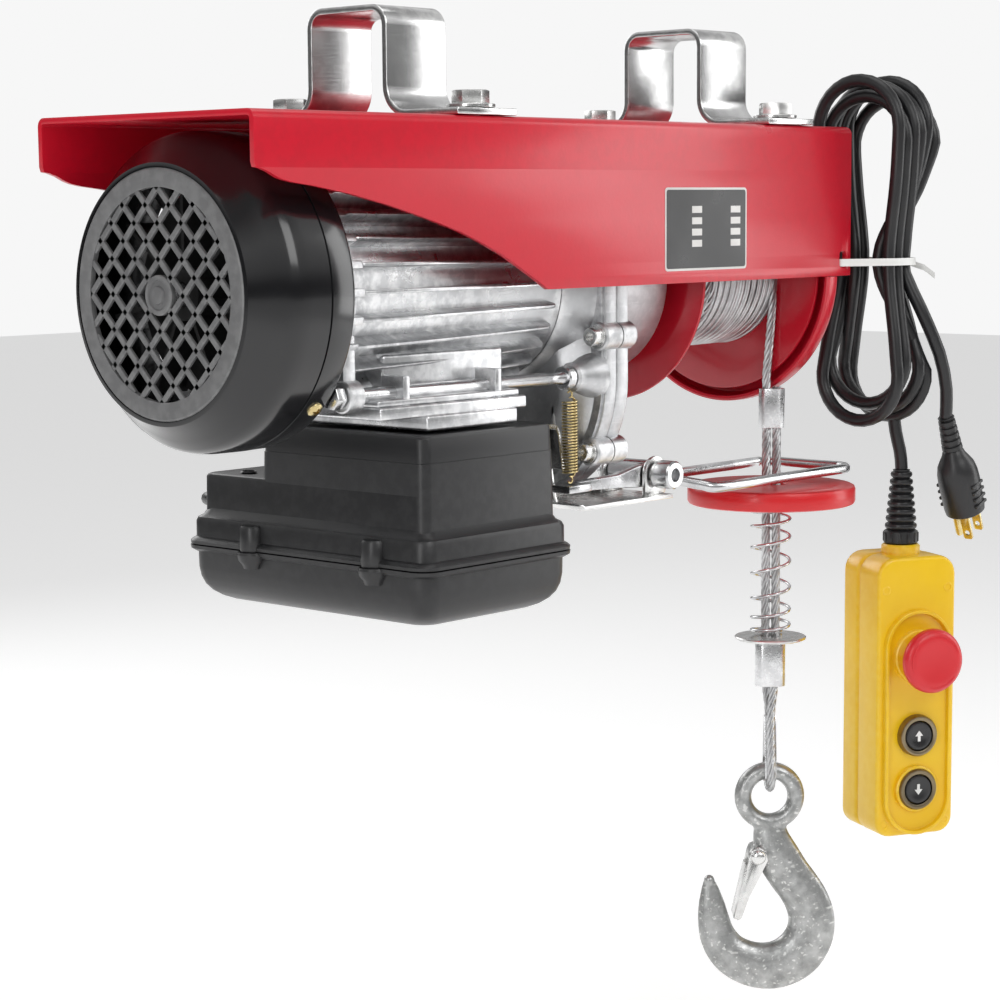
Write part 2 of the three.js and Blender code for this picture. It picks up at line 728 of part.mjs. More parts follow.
function gearCase() {
  const bell = turned(
    [
      [bellStart, 0],
      [bellStart, COVER_RADIUS + 1],
      [bellStart + 10, COVER_RADIUS + 4],
      [seam - CASE_FLANGE, CASE_RADIUS - 3],
      [seam, CASE_RADIUS - 3],
      [seam, 0],
    ],
  );
  const lower = slabX(caseOutline(CASE_RADIUS), seam - CASE_FLANGE, seam);
  const wellLength = BELL_LENGTH - CASE_FLANGE;
  const well = new THREE.CylinderGeometry(CASE_RADIUS - 3, CASE_RADIUS - 16, wellLength, SIDES);
  well.rotateZ(-Math.PI / 2);
  well.translate((bellStart + 6 + seam) / 2 - CASE_FLANGE / 2 + 3, 0, -LAYSHAFT_DROP);
  const wellSolid = solid(well);
  const bosses = screwBars(seam - CASE_FLANGE - 4, seam, CASE_BOSS);
  const rodEars = [-1, 1].map((side) =>
    barX(bellStart, bellStart + 12, TIE_ROD_EAR, side * (TIE_ROD_SPREAD - 1), 1 - TIE_ROD_DROP, SMALL_SIDES),
  );
  const pad = box(seam - CASE_FLANGE, seam, -30, 30, 50, AXIS_DROP - FRAME_SHEET - GAP);
  const cavity = slabX(caseOutline(CASE_RADIUS - CASE_WALL - 14), bearingSeat, seam + 1);
  const bores = [
    barX(bellStart - 1, bearingSeat + 1, SHAFT_RADIUS + 2),
    barX(bellStart - 1, bellStart + BEARING_WIDTH - 1, BEARING_RADIUS + GAP),
    barX(bearingSeat - 4, bearingSeat + 1, LAYSHAFT_RADIUS + GAP, 0, -LAYSHAFT_DROP, SMALL_SIDES),
    ...screwBars(bellStart - 20, seam + 1, CASE_SCREW.radius + GAP),
    ...[-1, 1].map((side) => tieRodBore(bellStart - 1, bellStart + 10, side)),
  ];
  const made = cut(join(bell, lower, wellSolid, pad, ...bosses, ...rodEars), cavity, ...bores);
  return piece("gear_case", castAluminium, made);
}

function gearCover() {
  const start = seam + GAP;
  const flangeEnd = start + CASE_FLANGE + 1;
  const plate = slabX(caseOutline(CASE_RADIUS), start, flangeEnd);
  const barrel = barX(start, coverEnd, COVER_RADIUS);
  const bosses = screwBars(start, flangeEnd + 3, CASE_BOSS);
  const pad = box(start, flangeEnd, -30, 30, 50, AXIS_DROP - FRAME_SHEET - GAP);
  const cavities = [
    slabX(caseOutline(CASE_RADIUS - CASE_WALL - 14), start - 1, flangeEnd - 3),
    barX(start - 1, coverEnd - 14, COVER_RADIUS - CASE_WALL),
    barX(start - 1, coverEnd + 1, DRUM_SHAFT_RADIUS + 0.4, 0, 0, 24),
    barX(start, flangeEnd - 1, LAYSHAFT_RADIUS + GAP, 0, -LAYSHAFT_DROP, SMALL_SIDES),
    ...screwBars(start - 1, flangeEnd + 1, CASE_SCREW.radius + GAP),
  ];
  return piece("gear_cover", castAluminium, cut(join(plate, barrel, pad, ...bosses), ...cavities));
}

function caseScrew(name, y, z) {
  const headEnd = seam - CASE_FLANGE - 4 - GAP;
  const made = cut(
    join(
      barX(headEnd - CASE_SCREW.headLength, headEnd, CASE_SCREW.head, y, z, SMALL_SIDES),
      barX(headEnd - 1, seam + CASE_FLANGE - 1, CASE_SCREW.radius, y, z, SMALL_SIDES),
    ),
    barX(headEnd - CASE_SCREW.headLength - 1, headEnd - 2, 2.6, y, z, 6),
  );
  return piece(name, zinc, made);
}

function tieRod(name, side) {
  const head = cowlEnd + 1;
  const y = side * TIE_ROD_SPREAD;
  const made = join(
    barX(head + 1, bellStart + 9, TIE_ROD_RADIUS, y, -TIE_ROD_DROP, SMALL_SIDES),
    barX(head, head + 6, 6.5, y, -TIE_ROD_DROP, 6),
    barX(housingEnd - 6, housingEnd, 6.5, y, -TIE_ROD_DROP, 6),
  );
  return piece(name, zinc, made);
}

function layshaftGear() {
  const end = stage2X + STAGE_2.width;
  const pinionAt = Math.PI / 2;
  const made = join(
    barX(bearingSeat - 3, end + 3, LAYSHAFT_RADIUS, 0, 0, SMALL_SIDES),
    slabX(
      gearOutline(STAGE_1.module, STAGE_1.wheel, Math.PI / 2 + halfTooth(STAGE_1.wheel)),
      stage1X,
      stage1X + STAGE_1.width,
      4,
    ),
    slabX(gearOutline(STAGE_2.module, PINION_TEETH, pinionAt), stage1X + STAGE_1.width - 1, end, 4),
  );
  const mesh = piece("layshaft_gear", steel, made);
  mesh.position.z = -LAYSHAFT_DROP;
  return mesh;
}

function drumGear() {
  const wheel = slabX(
    gearOutline(STAGE_2.module, STAGE_2.wheel, down + halfTooth(STAGE_2.wheel)),
    stage2X,
    stage2X + STAGE_2.width,
    4,
  );
  const bore = barX(stage2X - 1, stage2X + STAGE_2.width + 1, DRUM_SHAFT_RADIUS + GAP, 0, 0, 24);
  return piece("drum_gear", steel, cut(wheel, bore));
}

function drum() {
  const shaftEnd = shieldFace + 6;
  const shell = turned([
    [stage2X + 1, 0],
    [stage2X + 1, DRUM_SHAFT_RADIUS],
    [drumStart, DRUM_SHAFT_RADIUS],
    [drumStart, DRUM_FLANGE_RADIUS],
    [drumStart + DRUM_FLANGE, DRUM_FLANGE_RADIUS],
    [drumStart + DRUM_FLANGE, DRUM_CORE_RADIUS],
    [drumEnd - DRUM_FLANGE, DRUM_CORE_RADIUS],
    [drumEnd - DRUM_FLANGE, DRUM_FLANGE_RADIUS],
    [drumEnd, DRUM_FLANGE_RADIUS],
    [drumEnd, DRUM_SHAFT_RADIUS],
    [shaftEnd, DRUM_SHAFT_RADIUS],
    [shaftEnd, 0],
  ]);
  return piece("rope_drum", redPaint, shell);
}

// The wound rope as a grooved sleeve on the drum core, up to the wrap that is paying out.
function ropeWinding() {
  const start = drumStart + DRUM_FLANGE + GAP;
  const length = ROPE_LINE[0] - ROPE_DIAMETER / 2 - GAP - start;
  const wraps = Math.floor(length / ROPE_DIAMETER);
  const pitch = length / wraps;
  const inner = DRUM_CORE_RADIUS + 4 * GAP;
  const valley = inner + ROPE_DIAMETER * 0.5;
  const points = [[start, inner]];
  for (let i = 0; i < wraps; i += 1) {
    points.push([start + i * pitch, valley]);
    points.push([start + (i + 0.5) * pitch, DRUM_CORE_RADIUS + GAP + ROPE_DIAMETER]);
  }
  points.push([start + length, valley], [start + length, inner]);
  return piece("rope_winding", steel, turned(points, 14, true));
}

// The dish at the drum end is as wide as the frame below the lips and fits between them above.
function drumEndShield() {
  const rim = shieldFace - SHIELD_DEPTH;
  const dish = turned(
    [
      [rim, SHIELD_RADIUS - SHIELD_SHEET],
      [rim, SHIELD_RADIUS],
      [shieldFace - 4, SHIELD_RADIUS],
      [shieldFace, SHIELD_RADIUS - 4],
      [shieldFace, DRUM_SHAFT_RADIUS + 3],
      [shieldInner, DRUM_SHAFT_RADIUS + 3],
      [shieldInner, SHIELD_RADIUS - 6],
      [shieldInner - 2, SHIELD_RADIUS - SHIELD_SHEET],
    ],
    28,
    true,
  );
  const fold = AXIS_DROP - LIP_DEPTH - GAP;
  const room = join(
    box(rim - 1, shieldFace + 1, -lipInner + GAP, lipInner - GAP, fold - 1, AXIS_DROP - FRAME_SHEET - GAP),
    box(rim - 1, shieldFace + 1, -FRAME_WIDTH, FRAME_WIDTH, -FRAME_WIDTH, fold),
  );
  const hub = cut(
    barX(shieldFace - 1, shieldFace + SHIELD_HUB.length, SHIELD_HUB.radius, 0, 0, 24),
    barX(shieldFace - 2, shieldFace + SHIELD_HUB.length - 2, BEARING_RADIUS + 4 + GAP, 0, 0, 24),
  );
  const seat = barX(shieldInner - 1, shieldFace + 1, BEARING_RADIUS + 4 + GAP, 0, 0, 24);
  const top = AXIS_DROP - FRAME_SHEET - GAP;
  const tab = join(
    box(shieldInner, shieldFace, -SHIELD_TAB, SHIELD_TAB, 0, top),
    box(rim, shieldFace, -SHIELD_TAB, SHIELD_TAB, top - SHIELD_SHEET, top),
  );
  return piece("drum_end_shield", redPaint, cut(join(dish.intersect(room), hub, tab), seat));
}

function driveGroup() {
  const group = new THREE.Group();
  group.position.z = -AXIS_DROP;
  group.add(fanCowl(), fanGrille(), endShield(), motorHousing(), stator(), rotor(), coolingFan());
  const fanBearing = endShieldEnd - 3 - BEARING_WIDTH;
  group.add(
    ballBearing("fan_end_bearing", fanBearing, BEARING_WIDTH, BEARING_RADIUS, SHAFT_RADIUS + GAP),
    ballBearing("gear_end_bearing", bellStart + GAP, BEARING_WIDTH - 2, BEARING_RADIUS, SHAFT_RADIUS + GAP),
    gearCase(),
    gearCover(),
  );
  screwPlaces.forEach(([y, z], i) => group.add(caseScrew(`case_screw_${i + 1}`, y, z)));
  group.add(tieRod("tie_rod_near", -1), tieRod("tie_rod_far", 1), layshaftGear(), drumGear(), drum());
  group.add(ropeWinding(), drumEndShield());
  group.add(
    ballBearing(
      "drum_end_bearing",
      shieldInner,
      SHIELD_SHEET + SHIELD_HUB.length - 3,
      BEARING_RADIUS + 4,
      DRUM_SHAFT_RADIUS + GAP,
    ),
  );
  return group;
}

// ---------------------------------------------------------------- control box

const boxMid = [(BOX_X[0] + BOX_X[1]) / 2, (BOX_Y[0] + BOX_Y[1]) / 2];
const boxSize = [BOX_X[1] - BOX_X[0], BOX_Y[1] - BOX_Y[0]];

function boxRing(grow, radius) {
  return roundedRectangle(...boxMid, boxSize[0] + 2 * grow, boxSize[1] + 2 * grow, radius);
}

function controlBox() {
  const outer = join(
    box(BOX_X[0], BOX_X[1], BOX_Y[0], BOX_STEP_Y, -BOX_RIM_TOP - 4, -BOX_TOP),
    box(BOX_X[0], BOX_X[1], BOX_Y[0], BOX_Y[1], -BOX_RIM_TOP - 4, -BOX_STEP_TOP),
    slabZ(boxRing(BOX_RIM_GROW, 10), -BOX_SEAM + 4, -BOX_RIM_TOP, 4),
    slabZ(boxRing(BOX_RIM_GROW + BOX_LIP, 12), -BOX_SEAM + GAP, -BOX_SEAM + 4, 4),
  );
  const inner = join(
    box(
      BOX_X[0] + BOX_WALL,
      BOX_X[1] - BOX_WALL,
      BOX_Y[0] + BOX_WALL,
      BOX_STEP_Y - BOX_WALL,
      -BOX_SEAM - 1,
      -BOX_TOP - BOX_WALL,
    ),
    box(
      BOX_X[0] + BOX_WALL,
      BOX_X[1] - BOX_WALL,
      BOX_Y[0] + BOX_WALL,
      BOX_Y[1] - BOX_WALL,
      -BOX_SEAM - 1,
      -BOX_STEP_TOP - BOX_WALL,
    ),
  );
  const wall = BOX_Y[1];
  const glands = [POWER_EXIT, PENDANT_EXIT].map(([x, z]) =>
    barY(wall - 1, wall + GLAND.length, GLAND.radius, x, z),
  );
  const bores = [POWER_EXIT, PENDANT_EXIT].map(([x, z]) =>
    barY(wall - 6, wall + GLAND.length + 1, CORD_DIAMETER / 2 - 1, x, z, 8),
  );
  return piece("control_box", blackPlastic, cut(join(cut(outer, inner), ...glands), ...bores));
}

// A rounded slab whose lower face is inset from its upper one.
function taperedSlab(grow, radius, z0, z1, inset) {
  const slab = new THREE.ExtrudeGeometry(boxRing(grow, radius), {
    depth: z1 - z0,
    bevelEnabled: false,
    curveSegments: 3,
  });
  const place = slab.attributes.position;
  for (let i = 0; i < place.count; i += 1) {
    if (place.getZ(i) > 0) continue;
    const [dx, dy] = [place.getX(i) - boxMid[0], place.getY(i) - boxMid[1]];
    const shrinkX = 1 - (2 * inset) / (boxSize[0] + 2 * grow);
    const shrinkY = 1 - (2 * inset) / (boxSize[1] + 2 * grow);
    place.setXY(i, boxMid[0] + dx * shrinkX, boxMid[1] + dy * shrinkY);
  }
  slab.translate(0, 0, z0);
  return solid(slab);
}

function controlBoxLid() {
  const top = -BOX_SEAM - GAP;
  const knee = -BOX_BOTTOM + 9;
  const outer = join(
    slabZ(boxRing(BOX_RIM_GROW + BOX_LIP, 12), top - 3.5, top, 3),
    taperedSlab(BOX_RIM_GROW, 12, knee, top, 7),
    taperedSlab(BOX_RIM_GROW - 7, 9, -BOX_BOTTOM, knee, 8),
  );
  const hollow = taperedSlab(-2, 8, knee + 3, top + 1, 7);
  return piece("control_box_lid", blackPlastic, cut(outer, hollow));
}

function capacitor() {
  const x = boxMid[0];
  const z = -BOX_TOP - BOX_WALL - CAPACITOR.radius - 4;
  return piece("capacitor", greyPlastic, barY(-50, -50 + CAPACITOR.length, CAPACITOR.radius, x, z, 20));
}

function boxGroup() {
  const group = new THREE.Group();
  group.add(controlBox(), controlBoxLid(), capacitor());
  return group;
}

// ---------------------------------------------------------------- limit switch

function limitBracket() {
  const z = -PIVOT_DROP;
  const floorZ = -PIVOT_DROP - 13;
  const side = [
    [-24, -163],
    [LIMIT_PLATE_TOP_X, -163],
    [LIMIT_PLATE_TOP_X + 2, -167],
    [LIMIT_PLATE_FOOT_X - 3, floorZ + 4],
    [LIMIT_PLATE_FOOT_X + 2, floorZ],
    [PIVOT_X + 8, floorZ],
  ];
  const sheet = slabY(strip(side, LIMIT_PLATE), PIVOT_Y[0] - 7, PIVOT_Y[1] + 10);
  const notch = box(-30, LIMIT_PLATE_FOOT_X + 4, PIVOT_Y[0] - 8, PIVOT_Y[0] + 1, floorZ + 1, -160);
  const window = box(0, LIMIT_PLATE_FOOT_X + 6, PIVOT_Y[0] - 8, PIVOT_Y[0] + 10, floorZ + 1, z + 9);
  const ears = PIVOT_Y.map((y) =>
    join(
      barY(y - LIMIT_PLATE / 2, y + LIMIT_PLATE / 2, 10, PIVOT_X, z),
      box(PIVOT_X - 10, PIVOT_X + 8, y - LIMIT_PLATE / 2, y + LIMIT_PLATE / 2, floorZ, z),
    ),
  );
  const bore = barY(PIVOT_Y[0] - 5, PIVOT_Y[1] + 5, PIVOT_RADIUS + GAP, PIVOT_X, z);
  return piece("limit_bracket", zinc, cut(join(sheet, ...ears), bore, notch, window));
}

function limitSwitch() {
  const [dx, dy, dz] = SWITCH_SIZE;
  const x1 = LIMIT_PLATE_TOP_X - 1;
  const y0 = -48;
  const top = -170;
  const body = join(
    box(x1 - dx, x1, y0, y0 + dy, top - dz, top),
    box(x1 - dx + 5, x1 - 5, y0 + 8, y0 + 14, top - dz - 4, top - dz + 1),
  );
  return piece("limit_switch", blackPlastic, body);
}

function limitPin() {
  const made = cut(
    join(
      barY(PIVOT_Y[0] - 8, PIVOT_Y[1] + 8, PIVOT_RADIUS, PIVOT_X, -PIVOT_DROP),
      barY(PIVOT_Y[0] - 15, PIVOT_Y[0] - 3, 8, PIVOT_X, -PIVOT_DROP, 20),
      barY(PIVOT_Y[1] + 2, PIVOT_Y[1] + 8, 6.5, PIVOT_X, -PIVOT_DROP, 6),
    ),
    barY(PIVOT_Y[0] - 16, PIVOT_Y[0] - 9, 3.6, PIVOT_X, -PIVOT_DROP, 6),
  );
  return piece("limit_pin", steel, made);
}

// Bent rod that the stop weight lifts, with a hub on the pin and a lever to the return spring.
function limitArm() {
  const x1 = ROPE_LINE[0] + ARM_PAST_ROPE;
  const z = -ARM_DROP;
  const bend = 12;
  const nearStart = PIVOT_X + 26;
  const corner = (cy, from) =>
    arcPoints(x1 - bend, cy, bend, from, from + 90, 3).map(([x, y]) => [x, y, z]);
  const rod = swept(
    [
      [PIVOT_X + 8, ARM_NEAR_Y + 32, z + 6],
      [nearStart - 8, ARM_NEAR_Y + 20, z + 5],
      [nearStart + 2, ARM_NEAR_Y + 6, z + 2],
      [nearStart + 14, ARM_NEAR_Y, z],
      [(nearStart + x1) / 2, ARM_NEAR_Y, z],
      ...corner(ARM_NEAR_Y + bend, -90),
      ...corner(ARM_FAR_Y - bend, 0),
      [(nearStart + x1) / 2, ARM_FAR_Y, z],
      [nearStart + 14, ARM_FAR_Y, z],
      [nearStart, ARM_FAR_Y - 4, z + 1],
      [nearStart - 9, ARM_FAR_Y - 20, z + 4],
      [PIVOT_X + 6, ARM_FAR_Y - 31, z + 6],
    ],
    ARM_ROD_RADIUS,
    7,
    34,
  );
  const hubY = [PIVOT_Y[0] + LIMIT_PLATE / 2 + GAP, PIVOT_Y[1] - LIMIT_PLATE / 2 - GAP];
  const hub = barY(...hubY, 7.5, PIVOT_X, -PIVOT_DROP);
  const lever = slabY(
    outline([
      [PIVOT_X, -PIVOT_DROP - 7],
      [PIVOT_X, -PIVOT_DROP + 7],
      [PIVOT_X - 30, -PIVOT_DROP + 2],
      [LIMIT_SPRING.x + 14, -PIVOT_DROP + 1],
      [LIMIT_SPRING.x + 14, -PIVOT_DROP - 5],
      [PIVOT_X - 30, -PIVOT_DROP - 6],
    ]),
    hubY[0],
    hubY[0] + 6,
  );
  const reach = box(
    LIMIT_SPRING.x - 4,
    LIMIT_SPRING.x + 15,
    LIMIT_SPRING.y - 3,
    hubY[0] + 6,
    -PIVOT_DROP - 3.6,
    -PIVOT_DROP + 0.6,
  );
  const block = box(PIVOT_X - 2, PIVOT_X + 11, hubY[0], hubY[1], -ARM_DROP + 2, -PIVOT_DROP);
  const bore = barY(PIVOT_Y[0], PIVOT_Y[1], PIVOT_RADIUS + GAP, PIVOT_X, -PIVOT_DROP);
  return piece("limit_arm", zinc, cut(join(rod, hub, lever, reach, block), bore));
}

function limitSpring() {
  const length = LIMIT_SPRING.bottom - LIMIT_SPRING.top;
  const mesh = piece(
    "limit_spring",
    brass,
    helix(LIMIT_SPRING.radius, LIMIT_SPRING.wire, LIMIT_SPRING.turns, length),
  );
  mesh.position.set(LIMIT_SPRING.x, LIMIT_SPRING.y, -LIMIT_SPRING.bottom);
  return mesh;
}

function limitGroup() {
  const group = new THREE.Group();
  group.add(limitBracket(), limitSwitch(), limitPin(), limitArm(), limitSpring());
  return group;
}

// ---------------------------------------------------------------- load line, in a frame turned to the hook

const ropeRadius = ROPE_DIAMETER / 2;
const lowerFerruleTop = WASHER.top + WASHER.thick + GAP;
const loopMiddle = -EYE_DROP + (EYE_RADIUS + EYE_BORE) / 2;

function ferrule(name, topDrop, length, wall) {
  const width = 2 * (STRAND_OFFSET + ropeRadius + wall);
  const depth = 2 * (ropeRadius + wall);
  const outer = slabZ(roundedRectangle(0, 0, width, depth, depth / 2 - 0.5), -topDrop - length, -topDrop, 4);
  const hole = 2 * (STRAND_OFFSET + ropeRadius + GAP);
  const bore = roundedRectangle(0, 0, hole, 2 * (ropeRadius + GAP), ropeRadius + GAP - 0.05);
  return piece(name, castAluminium, cut(outer, slabZ(bore, -topDrop - length - 1, -topDrop + 1, 4)));
}

// Two strands side by side down to the lower ferrule, then a loop through the hook's eye.
function ropeLoop() {
  const top = -UPPER_FERRULE.top - UPPER_FERRULE.length / 2;
  const turnZ = -lowerFerruleTop - LOWER_FERRULE.length - 3.5;
  const strands = [-1, 1].map((side) => barZ(turnZ - 3, top, ropeRadius, side * STRAND_OFFSET, 0, 6));
  const core = box(-STRAND_OFFSET - 2, STRAND_OFFSET + 2, -3, 3, turnZ - 3, turnZ + 3);
  const bend = arcPoints(0, loopMiddle, LOOP_BEND, 0, -180, 8).map(([y, z]) => [0, y, z]);
  const loop = swept(
    [
      [0, 1.5, turnZ],
      [0, 2.6, turnZ - 12],
      [0, 6.4, turnZ - 28],
      ...bend,
      [0, -6.4, turnZ - 28],
      [0, -2.6, turnZ - 12],
      [0, -1.5, turnZ],
    ],
    ropeRadius,
    6,
    24,
  );
  return piece("rope_loop", steel, join(...strands, core, loop));
}

function stopWeight() {
  const bottom = -WEIGHT.top - WEIGHT.thick;
  const disc = join(
    barZ(bottom + 1.5, -WEIGHT.top - 1.5, WEIGHT.radius, 0, 0, 28),
    barZ(-WEIGHT.top - 1.5, -WEIGHT.top, WEIGHT.radius, 0, 0, 28, WEIGHT.radius - 2),
    barZ(bottom, bottom + 1.5, WEIGHT.radius - 2, 0, 0, 28, WEIGHT.radius),
  );
  return piece("stop_weight", redPaint, cut(disc, barZ(bottom - 1, -WEIGHT.top + 1, WEIGHT.bore, 0, 0, 20)));
}

function bufferSpring() {
  const bottom = -WASHER.top + GAP + BUFFER.wire / 2;
  const top = -WEIGHT.top - WEIGHT.thick - GAP - BUFFER.wire / 2;
  const mesh = piece(
    "buffer_spring",
    steel,
    helix(BUFFER.radius - BUFFER.wire / 2, BUFFER.wire, BUFFER.turns, top - bottom),
  );
  mesh.position.z = bottom;
  return mesh;
}

function bufferWasher() {
  const hole = STRAND_OFFSET + ropeRadius + GAP;
  const plate = barZ(-WASHER.top - WASHER.thick, -WASHER.top, WASHER.radius, 0, 0, 28);
  return piece("buffer_washer", zinc, cut(plate, barZ(-WASHER.top - 5, -WASHER.top + 1, hole)));
}

function hookShape() {
  const shape = new THREE.Shape();
  const eyeFrom = rad(-58);
  shape.moveTo(-EYE_RADIUS * Math.cos(eyeFrom), EYE_RADIUS * Math.sin(eyeFrom));
  for (const [x, z] of [
    [-11.5, -29],
    [-13.5, -36],
    [-10.5, -42],
    [-1.7, -50.5],
    [6, -60],
  ]) {
    shape.lineTo(x, z);
  }
  shape.absarc(HOOK_BOWL.x, HOOK_BOWL.z, HOOK_BOWL.radius, rad(10), rad(-180), true);
  for (const [x, z] of [
    [-27, -64],
    [-33, -53],
    [-36, -50],
    [-39.5, -51.5],
    [-42.5, -63],
  ]) {
    shape.lineTo(x, z);
  }
  shape.absarc(HOOK_BACK.x, HOOK_BACK.z, HOOK_BACK.radius, rad(180), rad(360), false);
  for (const [x, z] of [
    [37.5, -65],
    [29, -49],
    [19, -33],
    [13, -23],
  ]) {
    shape.lineTo(x, z);
  }
  shape.absarc(0, 0, EYE_RADIUS, eyeFrom, rad(238), false);
  return shape;
}

function liftingHook() {
  const body = slabY(hookShape(), -HOOK_THICK / 2, HOOK_THICK / 2, 9);
  const bore = barY(-HOOK_THICK, HOOK_THICK, EYE_BORE, 0, 0, 24);
  const eyeFaces = [-1, 1].map((side) =>
    box(-40, 40, side > 0 ? EYE_HALF : -30, side > 0 ? 30 : -EYE_HALF, -EYE_RADIUS + 2, 40),
  );
  const rivet = barY(-HOOK_THICK, HOOK_THICK, LATCH_RIVET + GAP, LATCH_PIVOT[0], LATCH_PIVOT[1], 12);
  return piece("lifting_hook", forgedSteel, cut(body, bore, rivet, ...eyeFaces));
}

// Sprung latch: a folded channel that straddles the shank on a rivet and bars the hook's mouth.
function hookLatch() {
  const [px, pz] = LATCH_PIVOT;
  const [tx, tz] = LATCH_TIP;
  const length = Math.hypot(tx - px, tz - pz);
  const lean = Math.atan2(tx - px, -(tz - pz));
  const cheekY = HOOK_THICK / 2 + GAP;
  const bar = new THREE.BoxGeometry(2, 2 * cheekY + 3, length - 16);
  bar.translate(-4, 0, -(length + 16) / 2);
  const cheeks = [-1, 1].map((side) => {
    const cheek = new THREE.BoxGeometry(7, 1.5, length * 0.62);
    cheek.translate(-1.5, side * (cheekY + 0.75), -length * 0.31);
    return solid(cheek);
  });
  const made = join(
    solid(bar),
    ...cheeks,
    ...[-1, 1].map((side) => barY(side > 0 ? cheekY : -cheekY - 1.5, side > 0 ? cheekY + 1.5 : -cheekY, 5)),
    barY(-cheekY - 2.6, cheekY + 2.6, LATCH_RIVET, 0, 0, 12),
  );
  const mesh = piece("hook_latch", zinc, made);
  mesh.position.set(px, 0, pz);
  mesh.rotation.y = -lean;
  return mesh;
}

function lineGroup() {
  const group = new THREE.Group();
  group.position.set(ROPE_LINE[0], ROPE_LINE[1], 0);
  group.rotation.z = rad(LINE_YAW);
  group.add(
    ferrule("upper_ferrule", UPPER_FERRULE.top, UPPER_FERRULE.length, UPPER_FERRULE.wall),
    ropeLoop(),
    stopWeight(),
    bufferSpring(),
    bufferWasher(),
    ferrule("lower_ferrule", lowerFerruleTop, LOWER_FERRULE.length, LOWER_FERRULE.wall),
  );
  const hook = new THREE.Group();
  hook.position.z = -EYE_DROP;
  hook.add(liftingHook(), hookLatch());
  group.add(hook);
  return group;
}

// The single fall from the drum to the near barrel of the upper ferrule.
function ropeFall() {
  const yaw = rad(LINE_YAW);
  const foot = [
    ROPE_LINE[0] - STRAND_OFFSET * Math.cos(yaw),
    ROPE_LINE[1] - STRAND_OFFSET * Math.sin(yaw),
    -UPPER_FERRULE.top - UPPER_FERRULE.length / 2 + GAP,
  ];
  const neck = [foot[0], foot[1], -UPPER_FERRULE.top + 6];
  const start = [...ROPE_LINE, -AXIS_DROP];
  const leaving = [...ROPE_LINE, -AXIS_DROP - 20];
  return piece("rope_fall", steel, swept([start, leaving, neck, foot], ropeRadius - 0.05, 6, 8));
}

// ---------------------------------------------------------------- pendant control

// Front is -Y in the pendant's own frame; its top middle is the origin.
function pendantOutline(inset) {
  const width = PENDANT.width - 2 * inset;
  const height = PENDANT.height - 2 * inset;
  return roundedRectangle(0, -PENDANT.height / 2, width, height, 9);
}

function pendantFront() {
  const depth = PENDANT.front;
  const skin = slabY(pendantOutline(0), -depth, -GAP / 2, 4);
  const shell = cut(skin, slabY(pendantOutline(PENDANT_WALL), -depth + 3, 1, 4));
  const middle = -(STOP_BUTTON.down + KEY_DOWN.down_button) / 2;
  const track = roundedRectangle(0, middle, 46, 140, 22.9);
  const trackInner = roundedRectangle(0, middle, 41, 135, 20.4);
  const lip = cut(slabY(track, -depth - 4, -depth + 0.5, 4), slabY(trackInner, -depth - 5, -depth + 1, 4));
  const holes = [
    barY(-depth - 8, -depth + 6, STOP_BUTTON.stem + GAP, 0, -STOP_BUTTON.down),
    ...Object.values(KEY_DOWN).map((drop) => barY(-depth - 8, -depth + 6, KEY_BUTTON.radius + GAP, 0, -drop)),
  ];
  const rings = Object.values(KEY_DOWN).map((drop) =>
    barY(-depth - 2.5, -depth + 1, KEY_BUTTON.ring, 0, -drop, 14),
  );
  const collar = barZ(-4, 6, SLEEVE.foot + 1.5, 0, -4, 16);
  const bore = barZ(-8, 8, CORD_DIAMETER / 2 + 1, 0, -4, 12);
  const front = box(-20, 20, -40, -GAP / 2, -10, 10);
  const made = join(shell, lip, ...rings, collar.intersect(front));
  return piece("pendant_front", yellowPlastic, cut(made, bore, ...holes));
}

function pendantBack() {
  const skin = slabY(pendantOutline(0), GAP / 2, PENDANT.back, 4);
  const shell = cut(skin, slabY(pendantOutline(PENDANT_WALL), -1, PENDANT.back - 3, 4));
  const bore = barZ(-8, 8, CORD_DIAMETER / 2 + 1, 0, -4, 12);
  return piece("pendant_back", yellowPlastic, cut(shell, bore));
}

function stopButton() {
  const base = -PENDANT.front - 2.4;
  const cap = base - STOP_BUTTON.height;
  const made = join(
    barY(cap, cap + 9, STOP_BUTTON.radius, 0, -STOP_BUTTON.down, 24),
    barY(cap + 8, -PENDANT.front + 10, STOP_BUTTON.stem, 0, -STOP_BUTTON.down),
  );
  return piece("stop_button", redPaint, made);
}

function keyButton(name) {
  const face = -PENDANT.front - 5.2;
  return piece(name, blackPlastic, barY(face, -PENDANT.front + 8, KEY_BUTTON.radius, 0, -KEY_DOWN[name]));
}

function pendantSleeve() {
  const bottom = 6 + GAP;
  const top = bottom + SLEEVE.length - 8;
  const lathe = new THREE.LatheGeometry(
    [
      [CORD_DIAMETER / 2 + GAP, bottom],
      [SLEEVE.foot, bottom],
      [SLEEVE.foot, bottom + 8],
      [SLEEVE.foot - 1.5, bottom + 9],
      [SLEEVE.top, top],
      [CORD_DIAMETER / 2 + GAP, top],
      [CORD_DIAMETER / 2 + GAP, bottom],
    ].map(([r, z]) => new THREE.Vector2(r, z)),
    16,
  );
  lathe.rotateX(Math.PI / 2);
  lathe.translate(0, -4, 0);
  const made = cut(solid(lathe), barZ(bottom - 1, bottom, 1));
  return piece("pendant_sleeve", blackRubber, made);
}

function pendantGroup() {
  const group = new THREE.Group();
  group.position.set(PENDANT.x, PENDANT.y, -PENDANT.top);
  group.rotation.z = rad(PENDANT.yaw);
  group.add(pendantFront(), pendantBack(), stopButton(), keyButton("up_button"), keyButton("down_button"));
  group.add(pendantSleeve());
  return group;
}

// ---------------------------------------------------------------- cords

